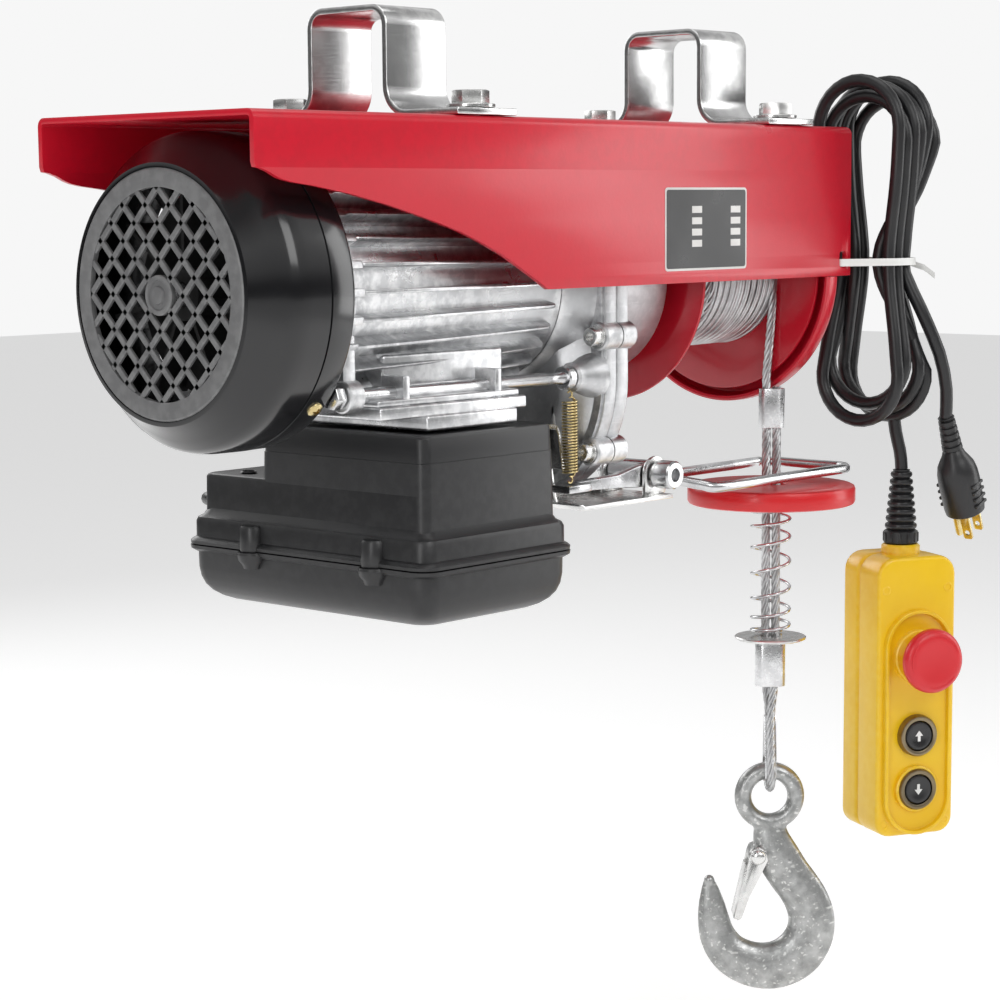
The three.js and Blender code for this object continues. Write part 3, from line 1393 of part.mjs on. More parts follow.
function cordHank() {
  const middle = (HANK.top + HANK.bottom) / 2;
  const shape = roundedRectangle(HANK.y, middle, HANK.width, HANK.top - HANK.bottom, HANK.corner - 0.1);
  return piece("cord_hank", blackRubber, slabX(shape, HANK.x[0], HANK.x[1], 5));
}

// A closed band of tie, its hole width by height, lying in the plane its normal is turned to.
function tieBand(width, height) {
  const grown = 2 * TIE.thick;
  const outer = roundedRectangle(0, 0, width + grown, height + grown, 3);
  return cut(
    slabZ(outer, -TIE.width / 2, TIE.width / 2, 3),
    slabZ(roundedRectangle(0, 0, width, height, 1.6), -TIE.width, TIE.width, 2),
  );
}

function cableTieNear() {
  const [x0, x1] = [slotX + TIE.thick, HANK.x[1] + 1];
  const width = HANK.width + 2;
  const head = box(-4, 3, -width / 2 - 6, -width / 2 - 1, -3, 3);
  const mesh = piece("cable_tie_near", whitePlastic, join(tieBand(x1 - x0, width), head));
  mesh.position.set((x0 + x1) / 2, HANK.y, slotZ);
  return mesh;
}

function cableTieFar() {
  const [y0, y1] = [lipInner - 0.6, FRAME_WIDTH / 2 + CORD_DIAMETER + 2];
  const [z0, z1] = [-LIP_DEPTH - 6.2, -LIP_DEPTH + 12.9];
  const band = tieBand(z1 - z0, y1 - y0);
  const head = box(-3, 3, (y1 - y0) / 2 + 1, (y1 - y0) / 2 + 5, -3, 3);
  const mesh = piece("cable_tie_far", whitePlastic, join(band, head));
  mesh.position.set(slotX, (y0 + y1) / 2, (z0 + z1) / 2);
  mesh.rotation.y = Math.PI / 2;
  return mesh;
}

function plug() {
  const bodyTop = -PLUG.relief;
  const bodyEnd = bodyTop - PLUG.body;
  const made = join(
    barZ(bodyTop, 0, 6.5, 0, 0, SMALL_SIDES, 5),
    barZ(bodyTop - 14, bodyTop + 0.5, PLUG.radius, 0, 0, SMALL_SIDES, 8),
    barZ(bodyEnd, bodyTop - 13.5, PLUG.radius),
    ...[-1, 1].map((side) =>
      box(side * 6.35 - 0.8, side * 6.35 + 0.8, -6, 0.4, bodyEnd - PLUG.prong, bodyEnd + 1),
    ),
    barZ(bodyEnd - PLUG.prong - 2, bodyEnd + 1, 2.4, 0, 7.5, 8),
  );
  const mesh = piece("plug", blackPlastic, made);
  mesh.position.set(PLUG.x, PLUG.y, PLUG.z);
  mesh.rotation.y = rad(-PLUG.lean);
  return mesh;
}

function cordGroup() {
  const group = new THREE.Group();
  const radius = CORD_DIAMETER / 2;
  group.add(
    piece("power_cord", blackRubber, swept(POWER_ROUTE, radius, CORD_SIDES, 28)),
    piece("pendant_cable", blackRubber, swept(PENDANT_ROUTE, radius, CORD_SIDES, 28)),
    piece("pendant_cable_drop", blackRubber, swept(DROP_ROUTE, radius, CORD_SIDES, 4)),
    cordHank(),
    plug(),
    cableTieNear(),
    cableTieFar(),
  );
  return group;
}

// ---------------------------------------------------------------- assembly

const hoist = new THREE.Group();
hoist.add(frameGroup(), driveGroup(), boxGroup(), limitGroup());
hoist.add(ropeFall(), lineGroup(), pendantGroup(), cordGroup());

export default hoist;
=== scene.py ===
"""The looks of a small electric wire-rope hoist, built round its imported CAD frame.

Metres, +Z up, +X from the motor's fan to the rope drum, -Y the side the rope hangs on.
"""

import json
import math

import bpy
from mathutils import Matrix, Vector


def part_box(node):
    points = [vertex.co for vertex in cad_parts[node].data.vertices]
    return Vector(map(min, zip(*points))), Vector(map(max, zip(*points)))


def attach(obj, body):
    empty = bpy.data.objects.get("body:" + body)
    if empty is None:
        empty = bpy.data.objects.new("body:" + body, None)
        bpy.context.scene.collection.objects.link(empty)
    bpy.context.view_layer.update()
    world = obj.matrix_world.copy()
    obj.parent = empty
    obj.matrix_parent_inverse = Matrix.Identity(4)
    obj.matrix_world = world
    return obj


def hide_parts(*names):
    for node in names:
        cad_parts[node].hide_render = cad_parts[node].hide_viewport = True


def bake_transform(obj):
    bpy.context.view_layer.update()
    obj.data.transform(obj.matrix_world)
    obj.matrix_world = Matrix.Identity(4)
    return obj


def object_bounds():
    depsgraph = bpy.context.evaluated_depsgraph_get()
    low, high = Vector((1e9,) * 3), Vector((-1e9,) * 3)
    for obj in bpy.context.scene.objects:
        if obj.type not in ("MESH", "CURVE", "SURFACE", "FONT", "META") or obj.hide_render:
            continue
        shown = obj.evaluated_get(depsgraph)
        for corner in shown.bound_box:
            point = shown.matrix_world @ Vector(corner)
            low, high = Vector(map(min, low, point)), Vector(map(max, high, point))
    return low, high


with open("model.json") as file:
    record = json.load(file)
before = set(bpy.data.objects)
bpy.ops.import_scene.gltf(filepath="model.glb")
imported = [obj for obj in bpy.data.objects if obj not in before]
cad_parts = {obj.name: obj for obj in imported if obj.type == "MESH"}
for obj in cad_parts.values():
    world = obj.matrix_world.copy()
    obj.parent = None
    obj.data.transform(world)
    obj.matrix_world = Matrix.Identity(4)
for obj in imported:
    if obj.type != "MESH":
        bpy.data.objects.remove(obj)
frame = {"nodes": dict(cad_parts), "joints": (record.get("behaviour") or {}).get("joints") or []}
cad_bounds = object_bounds()
nodes = frame["nodes"]
MM = 0.001
X = Vector((1, 0, 0))
Y = Vector((0, 1, 0))
Z = Vector((0, 0, 1))


# ------------------------------------------------------------------ bench tools


def clear_selection():
    if bpy.context.object and bpy.context.object.mode != "OBJECT":
        bpy.ops.object.mode_set(mode="OBJECT")
    bpy.ops.object.select_all(action="DESELECT")


def pick(obj):
    clear_selection()
    obj.select_set(True)
    bpy.context.view_layer.objects.active = obj


def edit(obj, selected=True):
    pick(obj)
    bpy.ops.object.mode_set(mode="EDIT")
    bpy.ops.mesh.select_all(action="SELECT" if selected else "DESELECT")


def leave_edit():
    bpy.ops.object.mode_set(mode="OBJECT")


def select_faces(obj, wanted):
    """Selects the faces for which wanted(centre, normal) holds, and goes into edit mode on them."""
    edit(obj, selected=False)
    bpy.ops.mesh.select_mode(type="FACE")
    leave_edit()
    for face in obj.data.polygons:
        face.select = bool(wanted(face.center, face.normal))
    bpy.ops.object.mode_set(mode="EDIT")


def add_modifier(obj, kind, **settings):
    modifier = obj.modifiers.new(kind.title(), kind)
    for key, value in settings.items():
        setattr(modifier, key, value)
    pick(obj)
    bpy.ops.object.modifier_apply(modifier=modifier.name)
    return obj


def close_seams(obj, gap=1e-6):
    edit(obj)
    bpy.ops.mesh.remove_doubles(threshold=gap)
    bpy.ops.mesh.normals_make_consistent(inside=False)
    leave_edit()
    return obj


def settle(obj):
    """Puts the object's place into its mesh."""
    pick(obj)
    bpy.ops.object.transform_apply(location=True, rotation=True, scale=True)
    return obj


def smooth(obj, angle=35):
    pick(obj)
    bpy.ops.object.shade_smooth_by_angle(angle=math.radians(angle))
    return obj


def round_edges(obj, width, segments=2, angle=35):
    return add_modifier(
        obj, "BEVEL", width=width, segments=segments, limit_method="ANGLE",
        angle_limit=math.radians(angle), harden_normals=False, use_clamp_overlap=True,
    )


def join(name, pieces):
    clear_selection()
    for obj in pieces:
        obj.select_set(True)
    bpy.context.view_layer.objects.active = pieces[0]
    if len(pieces) > 1:
        bpy.ops.object.join()
    obj = bpy.context.object
    obj.name = name
    obj.data.name = name
    return obj


def placed_copy(obj, matrix, name=None):
    """A copy with its own mesh, moved by matrix."""
    other = obj.copy()
    other.data = obj.data.copy()
    bpy.context.scene.collection.objects.link(other)
    other.data.transform(matrix)
    if name:
        other.name = name
    return other


def carve(obj, *cutters, operation="DIFFERENCE"):
    for cutter in cutters:
        add_modifier(obj, "BOOLEAN", object=cutter, operation=operation, solver="EXACT")
        bpy.data.objects.remove(cutter, do_unlink=True)
    return obj


def chain(name, points, closed=False):
    """Edges drawn through points, one vertex extruded after another."""
    clear_selection()
    bpy.ops.mesh.primitive_plane_add(size=MM, location=points[0])
    obj = bpy.context.object
    obj.name = name
    bpy.ops.object.mode_set(mode="EDIT")
    bpy.ops.mesh.select_all(action="SELECT")
    bpy.ops.mesh.merge(type="CENTER")
    bpy.ops.mesh.select_mode(type="VERT")
    at = Vector(points[0])
    for point in points[1:]:
        step = Vector(point) - at
        bpy.ops.mesh.extrude_vertices_move(TRANSFORM_OT_translate={"value": step})
        at = Vector(point)
    if closed:
        bpy.ops.mesh.select_all(action="SELECT")
        bpy.ops.mesh.edge_face_add()
    leave_edit()
    return settle(obj)


def slab(name, points, depth):
    """A flat outline pushed out by the vector depth."""
    obj = chain(name, points, closed=True)
    edit(obj)
    bpy.ops.mesh.extrude_region_move(TRANSFORM_OT_translate={"value": Vector(depth)})
    leave_edit()
    return close_seams(obj)


def turned(name, profile, origin, axis=X, steps=64, closed=False):
    """A round piece: profile is (distance along the axis, radius) points, spun once round the axis."""
    axis = Vector(axis)
    out = axis.orthogonal().normalized()
    points = [Vector(origin) + axis * a + out * r for a, r in profile]
    if closed:
        points.append(points[0])
    obj = chain(name, points)
    edit(obj)
    bpy.ops.mesh.spin(steps=steps, angle=2 * math.pi, center=Vector(origin), axis=axis)
    leave_edit()
    return close_seams(obj)


def ribbon(name, points, across, thick, offset=0.0, cyclic=False):
    """A strip of sheet: an edge drawn along points, pulled out by across, and given its thickness."""
    obj = chain(name, list(points) + ([points[0]] if cyclic else []))
    edit(obj)
    bpy.ops.mesh.extrude_edges_move(TRANSFORM_OT_translate={"value": Vector(across)})
    bpy.ops.mesh.select_all(action="SELECT")
    bpy.ops.mesh.remove_doubles(threshold=1e-6)
    leave_edit()
    add_modifier(obj, "SOLIDIFY", thickness=thick, offset=offset, use_even_offset=True)
    return close_seams(obj)


def block(name, low, high, bevel=0.0, segments=2):
    """A block added at its size, its edges rounded in edit mode."""
    low, high = Vector(low), Vector(high)
    clear_selection()
    bpy.ops.mesh.primitive_cube_add(size=1, location=(low + high) / 2)
    obj = bpy.context.object
    obj.name = name
    obj.scale = high - low
    settle(obj)
    if bevel:
        edit(obj)
        bpy.ops.mesh.bevel(offset=bevel, segments=segments, affect="EDGES")
        leave_edit()
    return obj


def arc(centre, radius, start, end, steps, first=Y, second=Z):
    """Points on an arc from start to end degrees, in the plane of first and second."""
    points = []
    for i in range(steps + 1):
        angle = math.radians(start + (end - start) * i / steps)
        points.append(
            Vector(centre) + first * (radius * math.cos(angle)) + second * (radius * math.sin(angle))
        )
    return points


def rounded_outline(centre, width, height, radius, first=X, second=Y, steps=6):
    points = []
    for sx, sy, start in ((1, 1, 0), (-1, 1, 90), (-1, -1, 180), (1, -1, 270)):
        corner = Vector(centre) + first * (sx * (width / 2 - radius)) + second * (
            sy * (height / 2 - radius)
        )
        points += arc(corner, radius, start, start + 90, steps, first, second)
    return points


def smooth_path(points, per=8, closed=False):
    """A dense smooth line through points."""
    line = [Vector(p) for p in points]
    if closed:
        ends = [line[-1]] + line + line[:2]
    else:
        ends = [line[0] * 2 - line[1]] + line + [line[-1] * 2 - line[-2]]
    out = []
    for a, b, c, d in zip(ends, ends[1:], ends[2:], ends[3:]):
        for i in range(per):
            t = i / per
            out.append(
                0.5 * (
                    2 * b + (c - a) * t + (
                        2 * a - 5 * b + 4 * c - d
                    ) * t * t + (3 * b - a - 3 * c + d) * t * t * t
                )
            )
    if not closed:
        out.append(line[-1])
    return out


def evenly(points, spacing):
    """The same line with its points spaced evenly."""
    lengths = [0.0]
    for a, b in zip(points, points[1:]):
        lengths.append(lengths[-1] + (b - a).length)
    count = max(2, round(lengths[-1] / spacing))
    out, k = [], 0
    for i in range(count + 1):
        want = lengths[-1] * i / count
        while k < len(points) - 2 and lengths[k + 1] < want:
            k += 1
        span = lengths[k + 1] - lengths[k] or 1.0
        out.append(points[k].lerp(points[k + 1], min(1.0, (want - lengths[k]) / span)))
    return out, lengths[-1]


def drawn_curve(name, points, radius=0.0, cyclic=False, resolution=3, radii=None):
    """A curve through points with a round section."""
    curve = bpy.data.curves.new(name, "CURVE")
    curve.dimensions = "3D"
    curve.bevel_depth = radius
    curve.bevel_resolution = resolution
    curve.use_fill_caps = True
    spline = curve.splines.new("POLY")
    spline.points.add(len(points) - 1)
    for i, point in enumerate(points):
        spline.points[i].co = (*point, 1)
        if radii:
            spline.points[i].radius = radii[i]
    spline.use_cyclic_u = cyclic
    obj = bpy.data.objects.new(name, curve)
    bpy.context.scene.collection.objects.link(obj)
    return obj


def as_mesh(obj):
    pick(obj)
    bpy.ops.object.convert(target="MESH")
    return bpy.context.object


def rod(name, points, radius, cyclic=False, resolution=3, radii=None):
    obj = as_mesh(drawn_curve(name, points, radius, cyclic, resolution, radii))
    return smooth(close_seams(obj), 60)


def strand_section(radius):
    """The outline of six strands lying round a core."""
    points = []
    for lobe in range(6):
        for turn in (-30, -16, 0, 16):
            phi = math.radians(turn)
            reach = 2 / 3 * math.cos(phi) + math.sqrt(max(0.0, 1 / 9 - (2 / 3 * math.sin(phi)) ** 2))
            angle = math.radians(60 * lobe) + phi
            points.append(Vector((math.cos(angle), math.sin(angle), 0)) * radius * max(reach, 0.7))
    return drawn_curve("strand_section", points, cyclic=True)


def wire_rope(name, points, radius, lay=0.034, spacing=0.0034):
    """Laid wire rope: a six-lobed section that turns as it follows the line."""
    line, length = evenly([Vector(p) for p in points], spacing)
    section = strand_section(radius)
    obj = drawn_curve(name, line)
    obj.data.bevel_mode = "OBJECT"
    obj.data.bevel_object = section
    obj.data.twist_mode = "MINIMUM"
    for i, point in enumerate(obj.data.splines[0].points):
        point.tilt = 2 * math.pi * length * i / (len(line) - 1) / lay
    obj = as_mesh(obj)
    bpy.data.objects.remove(section, do_unlink=True)
    return smooth(close_seams(obj), 50)


def hand_over(obj, body, material, replaces=()):
    """Gives a finished piece its material and its body, and hides the CAD nodes it stands for."""
    if material is not None:
        obj.data.materials.clear()
        obj.data.materials.append(material)
    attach(obj, body)
    if replaces:
        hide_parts(*([replaces] if isinstance(replaces, str) else replaces))
    return obj


# ------------------------------------------------------------------ shared surface effects


def shader_group(name, inputs, outputs):
    group = bpy.data.node_groups.new(name, "ShaderNodeTree")
    for title, kind, value in inputs:
        socket = group.interface.new_socket(title, in_out="INPUT", socket_type=kind)
        if value is not None:
            socket.default_value = value
    for title, kind in outputs:
        group.interface.new_socket(title, in_out="OUTPUT", socket_type=kind)
    source = group.nodes.new("NodeGroupInput")
    drain = group.nodes.new("NodeGroupOutput")
    return group, source, drain


def math_node(tree, operation, a, b=None, clamp=False):
    node = tree.nodes.new("ShaderNodeMath")
    node.operation = operation
    node.use_clamp = clamp
    for socket, value in zip(node.inputs, (a, b)):
        if value is None:
            continue
        if isinstance(value, (int, float)):
            socket.default_value = value
        else:
            tree.links.new(value, socket)
    return node.outputs[0]


def noise(tree, vector, scale, detail=3.0, rough=0.55):
    node = tree.nodes.new("ShaderNodeTexNoise")
    tree.links.new(vector, node.inputs["Vector"])
    if isinstance(scale, (int, float)):
        node.inputs["Scale"].default_value = scale
    else:
        tree.links.new(scale, node.inputs["Scale"])
    node.inputs["Detail"].default_value = detail
    node.inputs["Roughness"].default_value = rough
    return node.outputs["Fac"]


def remap(tree, value, low, high, to_low=0.0, to_high=1.0):
    node = tree.nodes.new("ShaderNodeMapRange")
    tree.links.new(value, node.inputs["Value"])
    node.inputs["From Min"].default_value = low
    node.inputs["From Max"].default_value = high
    node.inputs["To Min"].default_value = to_low
    node.inputs["To Max"].default_value = to_high
    return node.outputs["Result"]


def mottle_group():
    """Broad uneven tone, from 0 to 1."""
    group, source, drain = shader_group(
        "mottle", [("Vector", "NodeSocketVector", None), ("Scale", "NodeSocketFloat", 20.0)],
        [("Mask", "NodeSocketFloat")],
    )
    fine = noise(group, source.outputs["Vector"], source.outputs["Scale"], 4.0, 0.6)
    group.links.new(remap(group, fine, 0.32, 0.68), drain.inputs["Mask"])
    return group


def grain_group():
    """Fine surface texture: a height, made of pits of one size and a finer dust of bumps."""
    group, source, drain = shader_group(
        "grain", [("Vector", "NodeSocketVector", None), ("Scale", "NodeSocketFloat", 900.0)],
        [("Height", "NodeSocketFloat")],
    )
    coarse = noise(group, source.outputs["Vector"], source.outputs["Scale"], 2.0, 0.5)
    finer = math_node(group, "MULTIPLY", source.outputs["Scale"], 3.1)
    fine = noise(group, source.outputs["Vector"], finer, 1.0, 0.5)
    both = math_node(
        group, "ADD", math_node(group, "MULTIPLY", coarse, 0.7), math_node(group, "MULTIPLY", fine, 0.3)
    )
    group.links.new(both, drain.inputs["Height"])
    return group


def scratch_group():
    """Sparse thin scuffs running several ways, from 0 to 1."""
    group, source, drain = shader_group(
        "scuffs", [("Vector", "NodeSocketVector", None), ("Scale", "NodeSocketFloat", 60.0)],
        [("Mask", "NodeSocketFloat")],
    )
    total = None
    for turn, stretch in ((0.5, 9.0), (1.9, 11.0), (2.8, 8.0)):
        mapping = group.nodes.new("ShaderNodeMapping")
        group.links.new(source.outputs["Vector"], mapping.inputs["Vector"])
        mapping.inputs["Rotation"].default_value = (turn, turn * 0.7, turn * 1.3)
        mapping.inputs["Scale"].default_value = (1.0, stretch, stretch)
        line = noise(group, mapping.outputs["Vector"], source.outputs["Scale"], 2.0, 0.4)
        mark = remap(group, line, 0.66, 0.72)
        total = mark if total is None else math_node(group, "MAXIMUM", total, mark)
    group.links.new(total, drain.inputs["Mask"])
    return group


def edge_group():
    """Worn convex edges, from 0 to 1, broken up by noise."""
    group, source, drain = shader_group(
        "edge_wear", [("Vector", "NodeSocketVector", None), ("Amount", "NodeSocketFloat", 0.5)],
        [("Mask", "NodeSocketFloat")],
    )
    geometry = group.nodes.new("ShaderNodeNewGeometry")
    convex = remap(group, geometry.outputs["Pointiness"], 0.515, 0.56)
    broken = remap(group, noise(group, source.outputs["Vector"], 160.0, 3.0), 0.42, 0.62)
    mask = math_node(
        group, "MULTIPLY", math_node(group, "MULTIPLY", convex, broken), source.outputs["Amount"]
    )
    group.links.new(mask, drain.inputs["Mask"])
    return group


MOTTLE = mottle_group()
GRAIN = grain_group()
SCUFFS = scratch_group()
EDGES = edge_group()


def placed_group(tree, group, vector, **values):
    node = tree.nodes.new("ShaderNodeGroup")
    node.node_tree = group
    tree.links.new(vector, node.inputs["Vector"])
    for key, value in values.items():
        node.inputs[key.title()].default_value = value
    return node.outputs[0]


def mixed_colour(tree, mask, first, second):
    node = tree.nodes.new("ShaderNodeMix")
    node.data_type = "RGBA"
    tree.links.new(mask, node.inputs["Factor"])
    for socket, value in zip((node.inputs[6], node.inputs[7]), (first, second)):
        if isinstance(value, tuple):
            socket.default_value = (*value, 1)
        else:
            tree.links.new(value, socket)
    return node.outputs[2]


def finish(
    name, colour, shade=None, roughness=(0.3, 0.4), metallic=0.0, mottle=18.0, grain=(900.0, 0.05),
    scuffs=None, worn=None, stretch=None, coat=0.0, coordinates="Object", brushed=None,
):
    """A finish: two tones mottled into each other, a roughness range, a grain, scuffs and worn edges."""
    material = bpy.data.materials.new(name)
    material.use_nodes = True
    tree = material.node_tree
    shader = tree.nodes["Principled BSDF"]
    place = tree.nodes.new("ShaderNodeTexCoord")
    mapping = tree.nodes.new("ShaderNodeMapping")
    mapping.inputs["Scale"].default_value = stretch or (1, 1, 1)
    tree.links.new(place.outputs[coordinates], mapping.inputs["Vector"])
    vector = mapping.outputs["Vector"]
    shade = shade or tuple(c * 0.8 for c in colour)
    tone = placed_group(tree, MOTTLE, vector, scale=mottle)
    base = mixed_colour(tree, tone, shade, colour)
    rough = remap(tree, tone, 0.0, 1.0, roughness[1], roughness[0])
    if scuffs:
        scale, tint, amount = scuffs
        mark = placed_group(tree, SCUFFS, vector, scale=scale)
        mark = math_node(tree, "MULTIPLY", mark, amount)
        base = mixed_colour(tree, mark, base, tint)
        rough = math_node(tree, "ADD", rough, math_node(tree, "MULTIPLY", mark, 0.12))
    if worn:
        tint, amount = worn
        rubbed = placed_group(tree, EDGES, vector, amount=amount)
        base = mixed_colour(tree, rubbed, base, tint)
    tree.links.new(base, shader.inputs["Base Color"])
    tree.links.new(rough, shader.inputs["Roughness"])
    shader.inputs["Metallic"].default_value = metallic
    shader.inputs["Coat Weight"].default_value = coat
    shader.inputs["Coat Roughness"].default_value = 0.12
    height = placed_group(tree, GRAIN, vector, scale=grain[0])
    if brushed:
        lines = tree.nodes.new("ShaderNodeMapping")
        lines.inputs["Scale"].default_value = brushed
        tree.links.new(place.outputs[coordinates], lines.inputs["Vector"])
        streak = noise(tree, lines.outputs["Vector"], 900.0, 3.0)
        height = math_node(tree, "ADD", height, math_node(tree, "MULTIPLY", streak, 0.8))
    bump = tree.nodes.new("ShaderNodeBump")
    bump.inputs["Strength"].default_value = grain[1]
    bump.inputs["Distance"].default_value = 0.5 * MM
    tree.links.new(height, bump.inputs["Height"])
    tree.links.new(bump.outputs["Normal"], shader.inputs["Normal"])
    return material


RED = finish(
    "red_enamel", (0.6, 0.006, 0.024), (0.56, 0.005, 0.02), (0.27, 0.31), mottle=8.0, grain=(420.0, 0.12),
    coat=0.15, worn=((0.4, 0.01, 0.02), 0.3),
)
RED_GLOSS = finish(
    "red_drum_paint", (0.5, 0.006, 0.02), (0.42, 0.004, 0.014), (0.16, 0.26), grain=(260.0, 0.08),
    coat=0.5
)
RED_WEIGHT = finish(
    "red_dipped_coat", (0.66, 0.008, 0.012), (0.6, 0.006, 0.01), (0.28, 0.4), grain=(300.0, 0.16),
    coat=0.2
)
ZINC = finish(
    "bright_zinc", (0.8, 0.8, 0.79), (0.62, 0.62, 0.61), (0.2, 0.32), 1.0, mottle=26.0,
    grain=(1400.0, 0.1), scuffs=(45.0, (0.9, 0.9, 0.9), 0.25), worn=((0.9, 0.9, 0.89), 0.6),
)
STRAP = finish(
    "rolled_zinc_strap", (0.78, 0.78, 0.78), (0.5, 0.5, 0.5), (0.16, 0.26), 1.0, mottle=30.0,
    grain=(1600.0, 0.08), worn=((0.92, 0.92, 0.91), 0.7), brushed=(0.05, 1.0, 1.0),
)
CAST = finish(
    "blasted_casting", (0.62, 0.625, 0.635), (0.46, 0.465, 0.475), (0.3, 0.46), 1.0, mottle=34.0,
    grain=(1300.0, 0.3), scuffs=(30.0, (0.85, 0.85, 0.86), 0.2), worn=((0.95, 0.95, 0.95), 0.6),
)
FIN_METAL = finish(
    "drawn_fin_metal", (0.7, 0.705, 0.715), (0.5, 0.505, 0.515), (0.24, 0.36), 1.0, mottle=22.0,
    grain=(1500.0, 0.12), worn=((0.97, 0.97, 0.97), 0.6), brushed=(0.04, 1.0, 1.0),
)
GLOSS_BLACK = finish(
    "gloss_black_cowl", (0.008, 0.008, 0.009), (0.006, 0.006, 0.007), (0.15, 0.18), mottle=9.0,
    grain=(300.0, 0.02), coat=0.3
)
MOULDED_BLACK = finish(
    "moulded_black_box", (0.017, 0.017, 0.018), (0.015, 0.015, 0.016), (0.33, 0.37), mottle=9.0,
    grain=(1500.0, 0.08), worn=((0.035, 0.035, 0.036), 0.4),
)
# Grey well above the black cowl: partly a paler plastic, partly a painted sheen that stands in for light
# catching the grille's bars.
GRILLE_GREY_AND_SHEEN = finish(
    "grille_grey_and_painted_sheen", (0.16, 0.16, 0.162), (0.12, 0.12, 0.122), (0.34, 0.46), grain=(1200.0, 0.12),
    worn=((0.24, 0.24, 0.24), 0.5)
)
DARK_PLASTIC = finish("inner_black_plastic", (0.02, 0.02, 0.02), roughness=(0.4, 0.55), grain=(900.0, 0.15))
RUBBER = finish(
    "cord_sheath", (0.014, 0.014, 0.015), (0.008, 0.008, 0.009), (0.3, 0.42), grain=(700.0, 0.08),
    mottle=40.0
)
YELLOW = finish(
    "yellow_moulding", (0.86, 0.55, 0.006), (0.8, 0.49, 0.004), (0.3, 0.4), grain=(1400.0, 0.12),
    coat=0.15, worn=((0.9, 0.66, 0.1), 0.5)
)
STOP_RED = finish(
    "stop_button_red", (0.68, 0.02, 0.03), (0.6, 0.014, 0.02), (0.3, 0.4), grain=(1100.0, 0.1), coat=0.1
)
BLACK_KEY = finish(
    "key_black", (0.018, 0.018, 0.019), roughness=(0.22, 0.32), grain=(1200.0, 0.05), coat=0.2
)
KEY_RING = finish(
    "key_ring_bronze", (0.32, 0.26, 0.17), (0.2, 0.16, 0.1), (0.26, 0.4), 1.0, grain=(1300.0, 0.1)
)
ARROW_WHITE = finish("arrow_white", (0.82, 0.82, 0.8), roughness=(0.4, 0.5), grain=(900.0, 0.05))
BRASS_WIRE = finish(
    "yellow_zinc_wire", (0.72, 0.58, 0.3), (0.5, 0.4, 0.2), (0.2, 0.34), 1.0, mottle=120.0,
    grain=(1500.0, 0.06)
)
BRASS_SCREW = finish(
    "yellow_zinc_screw", (0.78, 0.66, 0.36), (0.58, 0.46, 0.22), (0.2, 0.32), 1.0, mottle=150.0,
    grain=(1500.0, 0.08)
)
BRIGHT_STEEL = finish(
    "bright_steel", (0.72, 0.725, 0.73), (0.5, 0.5, 0.51), (0.18, 0.3), 1.0, mottle=60.0,
    grain=(1600.0, 0.08)
)
ROPE_STEEL = finish(
    "galvanised_wires", (0.66, 0.665, 0.67), (0.42, 0.42, 0.425), (0.3, 0.44), 1.0, mottle=90.0,
    grain=(1700.0, 0.35), brushed=(1.0, 1.0, 0.2)
)
FORGED = finish(
    "forged_galvanised", (0.5, 0.505, 0.5), (0.3, 0.305, 0.3), (0.28, 0.44), 1.0, mottle=130.0,
    grain=(620.0, 0.5), scuffs=(36.0, (0.92, 0.92, 0.9), 0.55), worn=((0.9, 0.9, 0.88), 0.7),
)
PRESSED = finish(
    "pressed_ferrule", (0.82, 0.825, 0.83), (0.62, 0.62, 0.63), (0.2, 0.34), 1.0, mottle=110.0,
    grain=(900.0, 0.25), scuffs=(70.0, (0.95, 0.95, 0.95), 0.5)
)
NYLON = finish("white_nylon", (0.78, 0.78, 0.76), (0.7, 0.7, 0.68), (0.34, 0.44), grain=(1200.0, 0.05))
COPPER = finish(
    "varnished_copper", (0.5, 0.2, 0.07), (0.36, 0.13, 0.04), (0.3, 0.44), 1.0, grain=(700.0, 0.3)
)
PLATE_BLACK = finish("plate_black", (0.02, 0.02, 0.021), roughness=(0.26, 0.36), grain=(900.0, 0.04))
PLATE_WHITE = finish("plate_white", (0.72, 0.7, 0.68), roughness=(0.3, 0.42), grain=(900.0, 0.04))


# ------------------------------------------------------------------ where the CAD has things


def low(node):
    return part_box(node)[0]


def high(node):
    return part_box(node)[1]


AXIS_Z = (low("fan_cowl").z + high("fan_cowl").z) / 2
joints = {j["name"]: j for j in frame["joints"]}
LAYSHAFT = Vector((0, 0, joints["layshaft_spin"]["pos_m"][2]))
FRAME_LOW, FRAME_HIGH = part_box("frame_channel")
EYE = Vector(joints["hook_swing"]["pos_m"])
HOOK_OUT = Vector(joints["hook_swing"]["axis"]).normalized()  # through the hook, away from its face
HOOK_SIDE = Vector((HOOK_OUT.y, -HOOK_OUT.x, 0))
WIRE_R = 2.75 * MM
FIN_STEP = 12  # degrees from one fin of the motor to the next
FINS = 30


def about_axis(x, turn):
    """Turned by degrees about the motor's axis, from x along it."""
    return Matrix.Translation((x, 0, AXIS_Z)) @ Matrix.Rotation(math.radians(turn), 4, "X")


def middle_yz(node):
    lo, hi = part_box(node)
    return (lo.y + hi.y) / 2, (lo.z + hi.z) / 2


# ------------------------------------------------------------------ camera


